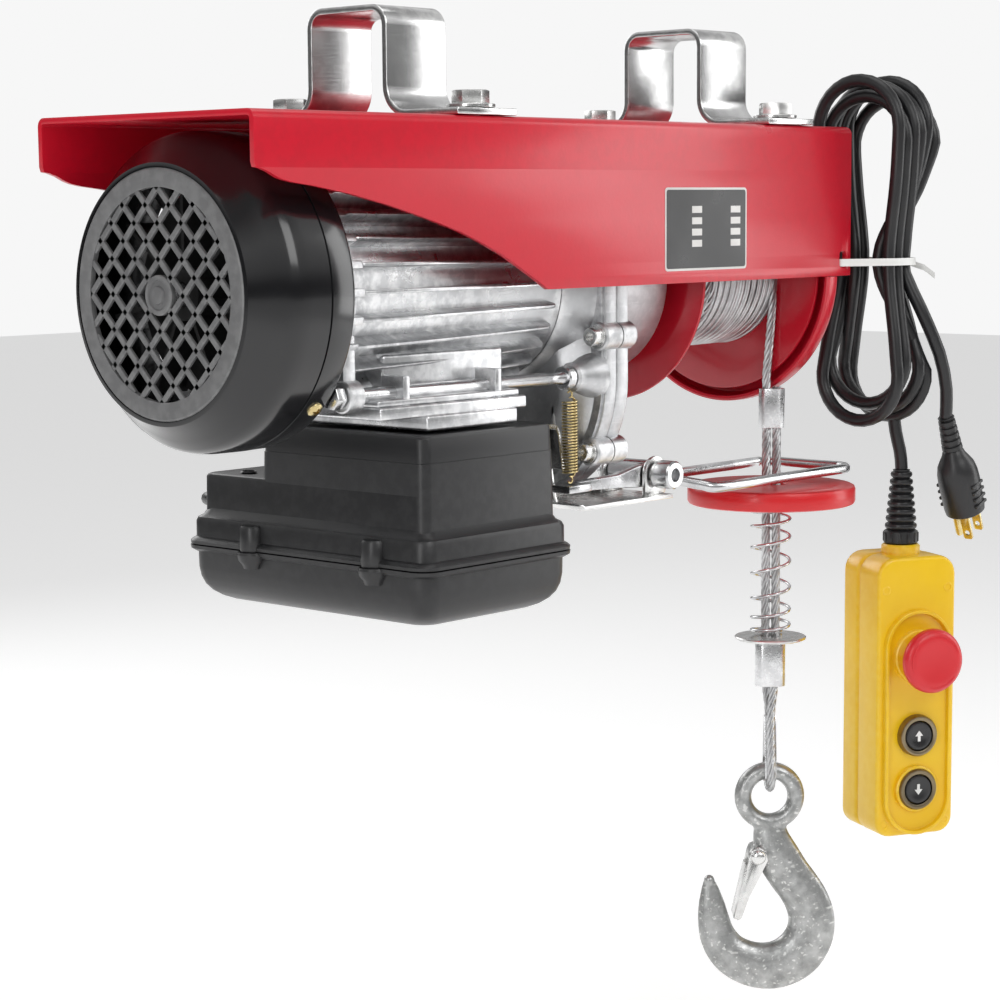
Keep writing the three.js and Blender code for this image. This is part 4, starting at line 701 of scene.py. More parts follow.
def make_camera():
    azimuth, elevation, roll = math.radians(-47.93), math.radians(7.63), math.radians(-0.51)
    target = Vector((81.2, 63.06, -240.81)) * MM
    distance = 1.469
    back = Vector(
        (
            math.sin(azimuth) * math.cos(elevation), -math.cos(azimuth) * math.cos(elevation),
            math.sin(elevation)
        )
    )
    side = Vector((math.cos(azimuth), math.sin(azimuth), 0))
    up = back.cross(side)
    turned_side = side * math.cos(roll) + up * math.sin(roll)
    turned_up = up * math.cos(roll) - side * math.sin(roll)
    data = bpy.data.cameras.new("camera")
    data.lens = 88.14
    data.sensor_width = 36
    data.shift_y = 0.0355
    data.clip_end = 50
    camera = bpy.data.objects.new("camera", data)
    bpy.context.scene.collection.objects.link(camera)
    place = Matrix((turned_side, turned_up, back)).transposed().to_4x4()
    place.translation = target + back * distance
    camera.matrix_world = place
    bpy.context.scene.camera = camera


make_camera()


# ------------------------------------------------------------------ cords

CORD_R = 4 * MM
# the hank and the routes are in millimetres
HANK_Y = -75.0
TIE_Z = -80.0
HANK_HALF = 28  # half the width of a turn
TIE_SPREAD = 30.0  # how far above and below the tie a turn is drawn in
STEPS_PER_TURN = 44
POWER_ROUTE = [
    (-95, 107, -205), (-94, 121, -206), (-88, 133, -207.5), (-77, 141, -209), (-62, 143.5, -211),
    (-40, 140, -213), (0, 126, -213), (55, 109, -196), (110, 100, -168), (165, 94, -132), (204, 87, -106),
    (224, 84.2, -90.5), (232, 84.2, -88.0), (244, 83, -87), (255, 76, -89), (262, 64, -92),
    (265, 50, -96), (266, 30, -100), (265, 10, -102),
]
PENDANT_ROUTE = [
    (-60, 107, -205), (-58.5, 116, -204), (-53, 124, -203), (-43, 129.5, -202), (-28, 130, -201),
    (10, 119, -197), (60, 103, -180), (112, 93, -153), (165, 87, -117), (203, 86, -91), (224, 84.2, -81),
    (232, 84.2, -79.4), (245, 84, -79), (257, 78.5, -79), (266, 68, -80), (271, 54, -83), (273, 36, -87),
    (273, 12, -91),
]


def hank_turns(first_x, step, tops, bottoms, far_places, near_places):
    """Turns of a hank: up the far side, over, down the near side and round, drawn together at the tie."""
    line = []
    half = HANK_HALF
    for turn, (top, bottom) in enumerate(zip(tops, bottoms)):
        last = turn == len(tops) - 1
        rise_to, fall_to = top - half, bottom + half
        fold = [math.radians(15 * i) for i in range(13)]
        way = [(1, z, far_places[turn]) for z in range(-70, int(rise_to) - 6, 14)]
        way += [(math.cos(a), rise_to + half * math.sin(a), None) for a in fold]
        way += [(-1, z, near_places[turn]) for z in range(int(rise_to) - 14, int(fall_to) + 6, -14)]
        if last:
            way = [spot for spot in way if spot[0] > -1 or spot[1] > -96]
        else:
            way += [(-math.cos(a), fall_to - half * math.sin(a), None) for a in fold]
            way += [(1, z, far_places[turn + 1]) for z in range(int(fall_to) + 14, -76, 14)]
        for i, (side, z, place) in enumerate(way):
            x = first_x + (turn + i / STEPS_PER_TURN) * step
            y = HANK_Y + side * half
            if place:
                drawn = math.exp(-((z - TIE_Z) ** 2) / (2 * TIE_SPREAD**2))
                x += (place[0] - x) * drawn
                y += (place[1] - y) * drawn
            line.append((x, y, z))
    return line


def cord_curve(name, points):
    line = smooth_path([Vector(p) * MM for p in points], per=2)
    line, _ = evenly(line, 6 * MM)
    return drawn_curve(name, line, CORD_R, resolution=4)


power_points = (
    POWER_ROUTE + [(262, -14, -101), (258, -34, -97), (255, -47, -87)] + hank_turns(
        251, 8.2, [28, 19, 25], [-177, -167, -174], [(254, -53), (262, -57), (270.5, -57)],
        [(260, -93), (268.5, -93), (277, -93)],
    ) + [(280, -104, -110), (291, -110, -136), (299, -110.5, -158), (303.0, -108, -176)]
)
pendant_points = (
    PENDANT_ROUTE + [(274, -14, -92), (276, -33, -89), (278, -46, -82)] + hank_turns(
        275, 7.6, [23, 28, 18], [-171, -176, -170], [(279, -52), (264, -66), (273, -66)],
        [(281, -84.5), (262, -84.5), (271.5, -84.5)],
    ) + [
        (277, -90, -118), (284, -86, -146), (288.6, -79.6, -172), (291, -80, -188), (294, -81.2, -199),
        (295.1, -81.5, -209.2)
    ]
)
power_lead = cord_curve("power_lead", power_points)
pendant_lead = cord_curve("pendant_lead", pendant_points)
hand_over(power_lead, "hoist", RUBBER, ["power_cord", "cord_hank"])
hand_over(pendant_lead, "hoist", RUBBER, ["pendant_cable", "pendant_cable_drop"])


# ------------------------------------------------------------------ frame channel


def red_frame():
    """A sheet folded to a channel, its lips cut to a sweeping lower edge."""
    low_x, high_x = FRAME_LOW.x, FRAME_HIGH.x
    side, bottom, sheet, bend = FRAME_HIGH.y, FRAME_LOW.z, 3 * MM, 4.5 * MM
    mid = sheet / 2
    half = [Vector((low_x, side - mid, bottom))]
    half += [Vector((low_x, side - mid, bottom * 0.6)), Vector((low_x, side - mid, bottom * 0.3))]
    half += arc((low_x, side - bend, -bend), bend - mid, 0, 90, 6)
    line = half + [Vector((p.x, -p.y, p.z)) for p in reversed(half)]
    frame_sheet = ribbon("red_frame", line, (high_x - low_x, 0, 0), sheet)
    edge = [
        (0, 24), (0.8, 26.5), (4, 27), (9, 28.6), (14, 31), (18, 32.3), (24, 33.4), (36, 34.8),
        (60, 38.6), (85, 43.8), (103, 48.2), (122, 53.2), (137, 57.6), (151, 62.6), (167, 69.2),
        (182, 76.6), (193, 82.4), (203, 88),
    ]
    cut = [Vector((low_x + x * MM, -side - 0.02, -z * MM)) for x, z in edge]
    cut = [
        Vector((low_x - 0.02, -side - 0.02, -20 * MM)), Vector((low_x - 0.001, -side - 0.02, -20 * MM))
    ] + cut
    cut += [
        Vector((low_x + 0.203, -side - 0.02, bottom - 0.02)),
        Vector((low_x - 0.02, -side - 0.02, bottom - 0.02))
    ]
    cutter = slab("lip_cut", cut, (0, 2 * side + 0.04, 0))
    slot = block("tie_slot", (0.2284, -0.1, bottom + 5 * MM), (0.2356, 0.1, bottom + 14.6 * MM), 2 * MM, 3)
    carve(frame_sheet, cutter, slot)
    round_edges(frame_sheet, 0.7 * MM, 2, 40)
    return hand_over(smooth(frame_sheet, 30), "hoist", RED, "frame_channel")


def blank_plate():
    """A riveted data plate left blank: a dark field, a pale border and empty boxes."""
    face = FRAME_LOW.y
    pieces = []
    field = slab(
        "field", rounded_outline((0.0975, face, -0.0585), 0.072, 0.043, 1.5 * MM, X, Z, 3),
        (0, -0.35 * MM, 0)
    )
    field.data.materials.append(PLATE_BLACK)
    pieces.append(field)
    border = slab(
        "border", rounded_outline((0.0975, face, -0.0585), 0.0745, 0.0455, 2 * MM, X, Z, 3),
        (0, -0.2 * MM, 0)
    )
    border.data.materials.append(PLATE_WHITE)
    pieces.append(border)
    for row in range(4):
        for x in (0.0885, 0.124):
            z = -0.0478 - row * 0.0062
            low_corner = (x - 0.0045, face - 0.5 * MM, z - 0.0019)
            high_corner = (x + 0.0045, face - 0.2 * MM, z + 0.0019)
            field = block("box", low_corner, high_corner, 0.1 * MM, 1)
            field.data.materials.append(PLATE_WHITE)
            pieces.append(field)
    plate = join("blank_rating_plate", pieces)
    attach(plate, "hoist")
    return plate


# ------------------------------------------------------------------ beam brackets and bolts


def beam_strap(node):
    """A strap folded over the beam, its feet swept out flat onto the frame."""
    lo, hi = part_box(node)
    sheet = 3.5 * MM
    mid = sheet / 2
    leg, top, bend, flare = 29 * MM - mid, hi.z - mid, 9 * MM, 14 * MM
    seat = lo.z + mid
    half = [Vector((lo.x, 0, top))]
    half += arc((lo.x, leg - bend, top - bend), bend, 90, 0, 8)
    half += arc((lo.x, leg + flare, seat + flare), flare, 180, 270, 9)
    half += [Vector((lo.x, hi.y, seat))]
    line = [Vector((p.x, -p.y, p.z)) for p in reversed(half[1:])] + half
    strap = ribbon(node + "_strap", line, (hi.x - lo.x, 0, 0), sheet)
    round_edges(strap, 0.6 * MM, 3, 50)
    return hand_over(smooth(strap, 40), "hoist", STRAP, node)


BOLT_ACROSS = 16.6 * MM


def hex_points(centre, across, first=X, second=Y, turn=0.0):
    reach = across / math.sqrt(3)
    return arc(centre, reach, turn, turn + 300, 5, first, second)


def hex_bolt():
    """Head with a turned chamfer, washer, shank and nut, standing on the frame at the origin."""
    head = slab("head", hex_points((0, 0, 6.2 * MM), BOLT_ACROSS), (0, 0, 6.7 * MM))
    cone = turned(
        "cone", [(0, 0.012), (0.0115, 0.012), (0.0133, 0.0072), (0.0133, 0), (0, 0)], (0, 0, 0), Z, 48
    )
    carve(head, cone, operation="INTERSECT")
    round_edges(head, 0.35 * MM, 2, 30)
    washer = turned(
        "washer",
        [
            (4.2 * MM, 0.0057), (4.2 * MM, 0.0121), (4.5 * MM, 0.0125), (5.7 * MM, 0.0125),
            (6 * MM, 0.0121), (6 * MM, 0.0057)
        ],
        (0, 0, 0), Z, 48, closed=True,
    )
    flange = turned(
        "flange", [(6 * MM, 0), (6 * MM, 0.0082), (6.5 * MM, 0.0083), (7 * MM, 0)], (0, 0, 0), Z, 40
    )
    nut = slab("nut", hex_points((0, 0, -3.4 * MM), BOLT_ACROSS, turn=14), (0, 0, -8 * MM))
    round_edges(nut, 0.5 * MM, 2, 30)
    shank = turned(
        "shank",
        [(-15.2 * MM, 0), (-15.2 * MM, 0.0042), (-14.4 * MM, 0.005), (4 * MM, 0.005), (4 * MM, 0)],
        (0, 0, 0), Z, 24
    )
    return smooth(join("bolt", [head, washer, flange, nut, shank]), 30)


def bolts():
    pattern = hex_bolt()
    for number in range(1, 5):
        node = f"bracket_bolt_{number}"
        lo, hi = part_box(node)
        turn = Matrix.Rotation(math.radians(17 * number), 4, "Z")
        place = Matrix.Translation(((lo.x + hi.x) / 2, (lo.y + hi.y) / 2, 0))
        bolt = placed_copy(pattern, place @ turn, f"beam_bolt_{number}")
        hand_over(bolt, "hoist", ZINC, node)
    bpy.data.objects.remove(pattern, do_unlink=True)


# ------------------------------------------------------------------ motor


def fan_cowl():
    """A moulded bell with a stepped mouth and a fine groove round its band."""
    x0, x1 = low("fan_cowl").x, high("fan_cowl").x
    length = x1 - x0
    outside = [
        (0, 0.0618), (0.4 * MM, 0.0634), (2 * MM, 0.0645), (6 * MM, 0.0672), (11 * MM, 0.0714),
        (15 * MM, 0.0755), (18 * MM, 0.0774), (22 * MM, 0.0784), (27 * MM, 0.0786),
        (length - 17 * MM, 0.0787), (length - 16.6 * MM, 0.0787), (length - 16.3 * MM, 0.0779),
        (length - 15.7 * MM, 0.0779), (length - 15.4 * MM, 0.0787), (length - 15 * MM, 0.0787),
        (length - 2 * MM, 0.0783), (length - 0.4 * MM, 0.0777), (length, 0.077),
    ]
    inside = [
        (length, 0.075), (0.02, 0.0748), (0.012, 0.0688), (3 * MM, 0.0622), (3 * MM, 0.0612), (0, 0.0612)
    ]
    cowl = turned("cowl_bell", outside + inside, (x0, 0, AXIS_Z), X, 112, closed=True)
    return hand_over(smooth(cowl, 30), "hoist", GLOSS_BLACK, "fan_cowl")


def grille():
    """A flat guard of crossed bars in a raised rim, with a bossed middle."""
    x0 = low("fan_grille").x
    centre = Vector((x0, 0, AXIS_Z))
    reach, pitch, width, deep = 52.5 * MM, 12.2 * MM, 3.1 * MM, 2.4 * MM
    pieces = [
        turned(
            "rim",
            [
                (0, 0.0517), (-0.2 * MM, 0.0522), (-0.2 * MM, 0.0600), (0.4 * MM, 0.0609),
                (3 * MM, 0.0609), (3 * MM, 0.0517)
            ],
            centre, X, 96, closed=True,
        )
    ]
    bar = block("bar", (0.3 * MM, -0.5, -width / 2), (deep, 0.5, width / 2), 0.35 * MM, 1)
    count = int(reach / pitch)
    for turn in (45, -45):
        for i in range(-count, count + 1):
            away = i * pitch
            chord = math.sqrt(max(0.0, reach**2 - away**2)) * 2
            if chord < 4 * MM:
                continue
            size = Matrix.Diagonal((1, chord, 1, 1))
            place = about_axis(x0, turn) @ Matrix.Translation((0, 0, away))
            pieces.append(placed_copy(bar, place @ size))
    bpy.data.objects.remove(bar, do_unlink=True)
    boss = [
        (2.6 * MM, 0), (2.6 * MM, 0.0098), (0, 0.0098), (-0.6 * MM, 0.0092), (-0.6 * MM, 0.0074),
        (0.2 * MM, 0.0068), (0.2 * MM, 0.0046), (-0.9 * MM, 0.004), (-1.1 * MM, 0)
    ]
    pieces.append(turned("boss", boss, centre, X, 40))
    guard = smooth(join("guard_lattice", pieces), 30)
    # Its grey is partly paler plastic and partly a painted sheen of light on the bars.
    return hand_over(guard, "hoist", GRILLE_GREY_AND_SHEEN, "fan_grille")


def cowl_screws():
    """Cross-headed screws on the cowl's rear band."""
    x = high("fan_cowl").x - 7 * MM
    head = turned(
        "screw",
        [
            (-1.5 * MM, 0), (-1.5 * MM, 0.0034), (0, 0.0042), (1.0 * MM, 0.0040), (1.9 * MM, 0.0030),
            (2.4 * MM, 0.0016), (2.5 * MM, 0)
        ],
        (0, 0, 0), Z, 32,
    )
    for half in ((0.0024, 0.00055), (0.00055, 0.0024)):
        notch = block("notch", (-half[0], -half[1], 1.0 * MM), (half[0], half[1], 4 * MM))
        carve(head, notch)
    smooth(head, 30)
    screws = []
    for turn in (135, 225, 315, 45):
        place = about_axis(x, turn) @ Matrix.Translation((0, 0, 0.0782))
        screws.append(placed_copy(head, place @ Matrix.Rotation(0.5 * turn, 4, "Z")))
    bpy.data.objects.remove(head, do_unlink=True)
    return hand_over(join("cowl_screws", screws), "hoist", BRASS_SCREW)


def motor_shield():
    """The fan-end casting: a ring with a lug under each fin, and an ear for each tie rod."""
    x0, x1 = high("fan_cowl").x + 0.3 * MM, high("motor_end_shield").x
    length = x1 - x0
    ring = turned(
        "ring",
        [
            (0, 0.010), (0, 0.0610), (1 * MM, 0.0622), (length - 1.5 * MM, 0.0622), (length, 0.0610),
            (length, 0.056), (5 * MM, 0.054), (5 * MM, 0.019), (length - 3 * MM, 0.019),
            (length - 3 * MM, 0.0145), (2 * MM, 0.0145), (2 * MM, 0.010)
        ],
        (x0, 0, AXIS_Z), X, 96, closed=True,
    )
    pieces = [ring]
    lug = block("lug", (0.5 * MM, -2.0 * MM, 0.0600), (length + 1 * MM, 2.0 * MM, 0.0662), 0.6 * MM, 2)
    rib = block("rib", (4 * MM, -0.0068, 0.0612), (7.5 * MM, 0.0068, 0.0645), 0.5 * MM, 1)
    for i in range(FINS):
        place = about_axis(x0, FIN_STEP * i + 6)
        pieces.append(placed_copy(lug, place))
        pieces.append(placed_copy(rib, place @ Matrix.Rotation(math.radians(6), 4, "X")))
    for obj in (lug, rib):
        bpy.data.objects.remove(obj, do_unlink=True)
    for node in ("tie_rod_near", "tie_rod_far"):
        y, z = middle_yz(node)
        side = 1 if y > 0 else -1
        ear = turned(
            "ear",
            [
                (7.5 * MM, 0.0039), (7.5 * MM, 0.0073), (8.3 * MM, 0.0081), (length, 0.0081),
                (length, 0.0039)
            ],
            (x0, y, z), X, 28, closed=True
        )
        arm = block(
            "arm", (x0 + 8 * MM, y - side * 0.004 - 0.006, z), (x1, y - side * 0.004 + 0.006, z + 0.03),
            1.5 * MM, 2
        )
        pieces += [ear, arm]
    for turn in (45, 135, 225, 315):
        tab = block("tab", (-11 * MM, -0.006, 0.056), (2 * MM, 0.006, 0.0738), 1 * MM, 2)
        pieces.append(placed_copy(tab, about_axis(x0, turn)))
        bpy.data.objects.remove(tab, do_unlink=True)
    shield = smooth(join("fan_end_casting", pieces), 35)
    return hand_over(shield, "hoist", CAST, "motor_end_shield")


def finned_housing():
    """A tapered barrel with thin straight fins, standing on a two-stepped foot."""
    x0, x1 = low("motor_housing").x, high("motor_housing").x
    length = x1 - x0
    taper = 0.895
    root = 0.0565
    barrel = turned(
        "barrel",
        [
            (0, 0.0465), (0, root), (length * 0.93, root * (1 - (1 - taper) * 0.93)),
            (length * 0.965, root * 0.925), (length, root * 0.94), (length, 0.0465)
        ],
        (x0, 0, AXIS_Z), X, 120, closed=True,
    )
    pieces = [barrel]
    outline = [
        Vector((x0 + 1 * MM, 0, root - 2 * MM)), Vector((x0 + 1 * MM, 0, 0.0655)),
        Vector((x0 + 2.5 * MM, 0, 0.0662)), Vector((x0 + 0.35 * length, 0, 0.0642)),
        Vector((x0 + 0.7 * length, 0, 0.0612)), Vector((x1 - 12 * MM, 0, 0.0588)),
        Vector((x1 - 9 * MM, 0, 0.0578)), Vector((x1 - 6.5 * MM, 0, 0.0552)),
        Vector((x1 - 6 * MM, 0, root * taper - 2 * MM)),
    ]
    fin = slab("fin", [p - Y * 0.95 * MM for p in outline], (0, 1.9 * MM, 0))
    round_edges(fin, 0.5 * MM, 2, 40)
    for i in range(FINS):
        turn = FIN_STEP * i + 6
        if 150 < turn < 210:
            continue
        pieces.append(placed_copy(fin, about_axis(0, turn)))
    bpy.data.objects.remove(fin, do_unlink=True)
    lo = low("motor_housing")
    pieces.append(block("foot_upper", (-0.150, -0.068, -0.1492), (-0.042, 0.060, -0.1428), 1.2 * MM, 3))
    pieces.append(block("foot_edge", (-0.150, -0.0664, -0.1428), (-0.046, 0.058, -0.1392), 1.2 * MM, 3))
    pieces.append(block("foot_neck", (-0.132, -0.0515, -0.1430), (-0.042, 0.0515, -0.1180), 2 * MM, 3))
    pieces.append(
        block("foot_lower", (-0.118, -0.0690, lo.z + 0.1 * MM), (-0.050, 0.044, -0.1485), 1.6 * MM, 3)
    )
    for x in (-0.132, -0.064):
        pieces.append(block("foot_rib", (x, -0.066, -0.1440), (x + 0.005, -0.050, -0.128), 1 * MM, 2))
    housing = smooth(join("finned_motor_case", pieces), 35)
    return hand_over(housing, "hoist", FIN_METAL, "motor_housing")


def tie_rods():
    for node in ("tie_rod_near", "tie_rod_far"):
        lo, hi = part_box(node)
        y, z = middle_yz(node)
        body = turned(
            "rod",
            [
                (1 * MM, 0), (1 * MM, 0.0036), (0.160, 0.0036), (0.161, 0.0031), (0.170, 0.0031),
                (0.171, 0.0036), (hi.x - lo.x, 0.0036), (hi.x - lo.x, 0)
            ],
            (lo.x, y, z), X, 32,
        )
        head = slab("head", hex_points((lo.x, y, z), 11 * MM, Y, Z, 10), (6 * MM, 0, 0))
        nut_x = high("motor_housing").x - 6 * MM
        nut = turned(
            "collar",
            [
                (0, 0.0036), (0, 0.0058), (0.8 * MM, 0.0066), (5 * MM, 0.0066), (5.8 * MM, 0.0060),
                (5.8 * MM, 0.0036)
            ],
            (nut_x, y, z), X, 32, closed=True
        )
        round_edges(head, 0.5 * MM, 2, 30)
        made = smooth(join(node + "_bar", [body, head, nut]), 35)
        hand_over(made, "hoist", BRIGHT_STEEL, node)


# ------------------------------------------------------------------ gear case

FLANGE_R = 0.068
HOLLOW_R = 0.050


def case_outline(x, radius):
    top = arc((x, 0, AXIS_Z), radius, 0, 180, 40)
    bottom = arc((x, 0, LAYSHAFT.z), radius, 180, 360, 40)
    return top + bottom


def screw_places():
    return [middle_yz(f"case_screw_{number}") for number in range(1, 5)]


def gear_case():
    """The motor-side casting: a swept bell running out to a flange shaped like a long oval."""
    x0, x1 = low("gear_case").x, high("gear_case").x
    length = x1 - x0
    bell = turned(
        "bell",
        [
            (0, 0.014), (0, 0.0535), (1.5 * MM, 0.0552), (8 * MM, 0.0568), (14 * MM, 0.0602),
            (18 * MM, 0.0640), (length - 1 * MM, 0.0655), (length - 1 * MM, 0.050), (9 * MM, 0.045),
            (9 * MM, 0.014)
        ],
        (x0, 0, AXIS_Z), X, 96, closed=True,
    )
    well = turned(
        "well",
        [
            (7 * MM, 0), (7 * MM, 0.0440), (8.5 * MM, 0.0475), (14 * MM, 0.0560), (18 * MM, 0.0622),
            (20 * MM, 0.0640), (length - 1 * MM, 0.0645), (length - 1 * MM, 0.05), (11 * MM, 0.04),
            (11 * MM, 0)
        ],
        (x0, 0, LAYSHAFT.z), X, 96,
    )
    flange = slab("flange", case_outline(x0 + 19.4 * MM, FLANGE_R), (length - 19.4 * MM, 0, 0))
    hollow = slab("hollow", case_outline(x0 + 10 * MM, HOLLOW_R), (length, 0, 0))
    carve(flange, hollow)
    round_edges(flange, 0.8 * MM, 3, 50)
    lip = slab("lip", case_outline(x0 + 17.4 * MM, 0.0662), (2.2 * MM, 0, 0))
    hole = slab("hollow", case_outline(x0 + 10 * MM, HOLLOW_R), (length, 0, 0))
    carve(lip, hole)
    pieces = [bell, well, flange, lip]
    for y, z in screw_places():
        boss = [(15 * MM, 0.0042), (15 * MM, 0.0068), (16 * MM, 0.0078), (length, 0.0078), (length, 0.0042)]
        pieces.append(turned("boss", boss, (x0, y, z), X, 32, closed=True))
    for side in (-1, 1):
        y = side * (abs(low("tie_rod_near").y + high("tie_rod_near").y) / 2)
        z = (low("tie_rod_near").z + high("tie_rod_near").z) / 2
        ear = [
            (0, 0.0040), (0, 0.0066), (1.2 * MM, 0.0080), (6 * MM, 0.0082), (16 * MM, 0.0120),
            (19 * MM, 0.0130), (19 * MM, 0.0040)
        ]
        pieces.append(turned("ear", ear, (x0, y, z), X, 32, closed=True))
    for start in (40, 60):
        web = arc((x0 + 6 * MM, 0, LAYSHAFT.z), 0.052, 180 + start, 180 + start + 4, 3)
        pieces.append(
            block(
                "web", (x0 + 7 * MM, web[0].y - 0.0012, web[0].z - 0.001),
                (x1 - 6 * MM, web[0].y + 0.0012, web[0].z + 0.02), 0.5 * MM, 1
            )
        )
    pieces.append(
        block("pad", (x0 + 19 * MM, -0.030, AXIS_Z + 0.05), (x1, 0.030, high("gear_case").z), 1 * MM, 2)
    )
    case = smooth(join("bell_casting", pieces), 35)
    return hand_over(case, "hoist", CAST, "gear_case")


def gear_cover():
    """The drum-side casting: the matching flange and a plain round barrel."""
    x0, x1 = low("gear_cover").x, high("gear_cover").x
    flange = slab("flange", case_outline(x0, FLANGE_R), (10 * MM, 0, 0))
    hollow = slab("hollow", case_outline(x0 - 5 * MM, HOLLOW_R), (12 * MM, 0, 0))
    carve(flange, hollow)
    round_edges(flange, 0.9 * MM, 3, 50)
    barrel = turned(
        "barrel",
        [
            (8 * MM, 0.0104), (8 * MM, 0.0575), (12 * MM, 0.0568), (x1 - x0 - 3 * MM, 0.0560),
            (x1 - x0 - 0.8 * MM, 0.0552), (x1 - x0, 0.0530), (x1 - x0, 0.0104)
        ],
        (x0, 0, AXIS_Z), X, 96, closed=True,
    )
    pieces = [flange, barrel]
    for y, z in screw_places():
        boss = [
            (0.5 * MM, 0.0042), (0.5 * MM, 0.0078), (11.6 * MM, 0.0078), (13 * MM, 0.0066), (13 * MM, 0)
        ]
        pieces.append(
            turned("boss", boss + [(8 * MM, 0), (8 * MM, 0.0042)], (x0, y, z), X, 32, closed=True)
        )
    pieces.append(
        block("pad", (x0, -0.030, AXIS_Z + 0.05), (x0 + 10 * MM, 0.030, high("gear_cover").z), 1 * MM, 2)
    )
    cover = smooth(join("cover_casting", pieces), 35)
    return hand_over(cover, "hoist", CAST, "gear_cover")


def case_screws():
    """Socket-head screws through the seam of the gear case."""
    head = turned(
        "head",
        [
            (6 * MM, 0), (6 * MM, 0.0049), (5 * MM, 0.0050), (0.6 * MM, 0.0050), (0, 0.0044), (0, 0.0026),
            (3.2 * MM, 0.0026), (3.2 * MM, 0)
        ],
        (0, 0, 0), X, 32,
    )
    shank = turned(
        "shank", [(5.5 * MM, 0), (5.5 * MM, 0.0029), (27.2 * MM, 0.0029), (27.2 * MM, 0)], (0, 0, 0), X,
        20
    )
    washer = turned(
        "washer", [(5.2 * MM, 0.003), (5.2 * MM, 0.0062), (6.2 * MM, 0.0062), (6.2 * MM, 0.003)],
        (0, 0, 0), X, 32, closed=True
    )
    pattern = smooth(join("screw", [head, shank, washer]), 35)
    for number, (y, z) in enumerate(screw_places(), 1):
        node = f"case_screw_{number}"
        screw = placed_copy(pattern, Matrix.Translation((low(node).x, y, z)), f"socket_screw_{number}")
        hand_over(screw, "hoist", ZINC, node)
    bpy.data.objects.remove(pattern, do_unlink=True)


# ------------------------------------------------------------------ drum and its end shield


def rope_drum():
    """A spool: two dished flanges on a tube, on a shaft."""
    x0 = low("rope_winding").x - 0.3 * MM
    lo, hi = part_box("rope_drum")
    flange, reach, core = 2.6 * MM, hi.z - AXIS_Z, 0.038
    near, far = x0 - flange, 218.8 * MM
    profile = [
        (lo.x, 0), (lo.x, 0.0098), (lo.x + 0.5 * MM, 0.010), (near - 0.5 * MM, 0.010), (near, 0.0105),
        (near, reach - 1.5 * MM), (near + 0.4 * MM, reach - 0.3 * MM), (near + flange / 2, reach),
        (near + flange - 0.4 * MM, reach - 0.3 * MM), (near + flange, reach - 1.5 * MM),
        (near + flange, core + 1 * MM), (near + flange + 1 * MM, core), (far - flange - 1 * MM, core),
        (far - flange, core + 1 * MM), (far - flange, reach - 1.5 * MM),
        (far - flange + 0.4 * MM, reach - 0.3 * MM), (far - flange / 2, reach),
        (far - 0.4 * MM, reach - 0.3 * MM), (far, reach - 1.5 * MM), (far, 0.0105),
        (far + 0.5 * MM, 0.010), (hi.x - 1 * MM, 0.010), (hi.x, 0.009), (hi.x, 0),
    ]
    drum = turned("spool", profile, (0, 0, AXIS_Z), X, 112)
    return hand_over(smooth(drum, 30), "drum", RED_GLOSS, "rope_drum")


def winding():
    """One layer of laid rope, ending where it leaves the drum for the hook."""
    x0 = low("rope_winding").x + WIRE_R
    x1 = high("rope_winding").x + WIRE_R + 0.3 * MM + 2.5 * MM
    radius = 0.0408
    turns = round((x1 - x0) / (5.62 * MM))
    points = []
    per = 40
    for i in range(turns * per + 1):
        angle = 2 * math.pi * (i / per) + math.pi
        x = x0 + (x1 - x0) * i / (turns * per)
        points.append(Vector((x, radius * math.cos(angle), AXIS_Z - radius * math.sin(angle))))
    rope = wire_rope("wound_rope", points, WIRE_R, spacing=3.6 * MM)
    return hand_over(rope, "drum", ROPE_STEEL, "rope_winding")


def end_shield():
    """A dish with a rolled rim, closed up to the frame by a flat panel."""
    x1 = 229 * MM
    rim = low("drum_end_shield").x
    reach = 79.4 * MM
    profile = [
        (rim, reach - 3 * MM), (rim - 0.1 * MM, reach - 1.4 * MM), (rim + 0.5 * MM, reach - 0.2 * MM),
        (rim + 1.5 * MM, reach), (x1 - 5 * MM, reach), (x1 - 2.2 * MM, reach - 0.8 * MM),
        (x1 - 0.5 * MM, reach - 3.4 * MM), (x1, reach - 7 * MM), (x1, 0.0135), (x1 - 3 * MM, 0.0135),
        (x1 - 3 * MM, reach - 9 * MM), (x1 - 3.6 * MM, reach - 5.5 * MM), (x1 - 6 * MM, reach - 3.2 * MM),
    ]
    pieces = []
    fold = FRAME_LOW.z - 0.3 * MM
    for keep_low in (True, False):
        dish = turned("dish", profile, (0, 0, AXIS_Z), X, 128, closed=True)
        edit(dish)
        bpy.ops.mesh.bisect(
            plane_co=(0, 0, fold), plane_no=(0, 0, 1), use_fill=True, clear_outer=keep_low,
            clear_inner=not keep_low
        )
        if not keep_low:
            for side in (1, -1):
                bpy.ops.mesh.select_all(action="SELECT")
                bpy.ops.mesh.bisect(
                    plane_co=(0, side * 75.7 * MM, 0), plane_no=(0, side, 0), use_fill=True,
                    clear_outer=True
                )
        leave_edit()
        pieces.append(dish)
    top = high("drum_end_shield").z
    pieces.append(block("panel", (x1 - 2.8 * MM, -0.072, AXIS_Z), (x1 - 0.7 * MM, 0.072, top), 0.4 * MM, 1))
    pieces.append(
        block("tab", (rim, -0.0718, top - 3 * MM), (x1 - 0.3 * MM, 0.0718, top - 0.2 * MM), 0.4 * MM, 1)
    )
    hub = [
        (x1 - 0.5 * MM, 0.0184), (x1 - 0.5 * MM, 0.026), (x1 + 1 * MM, 0.0245),
        (high("drum_end_shield").x - 0.8 * MM, 0.024), (high("drum_end_shield").x, 0.0232),
        (high("drum_end_shield").x, 0.0184)
    ]
    pieces.append(turned("hub", hub, (0, 0, AXIS_Z), X, 64, closed=True))
    shield = smooth(join("end_dish", pieces), 30)
    return hand_over(shield, "hoist", RED, "drum_end_shield")


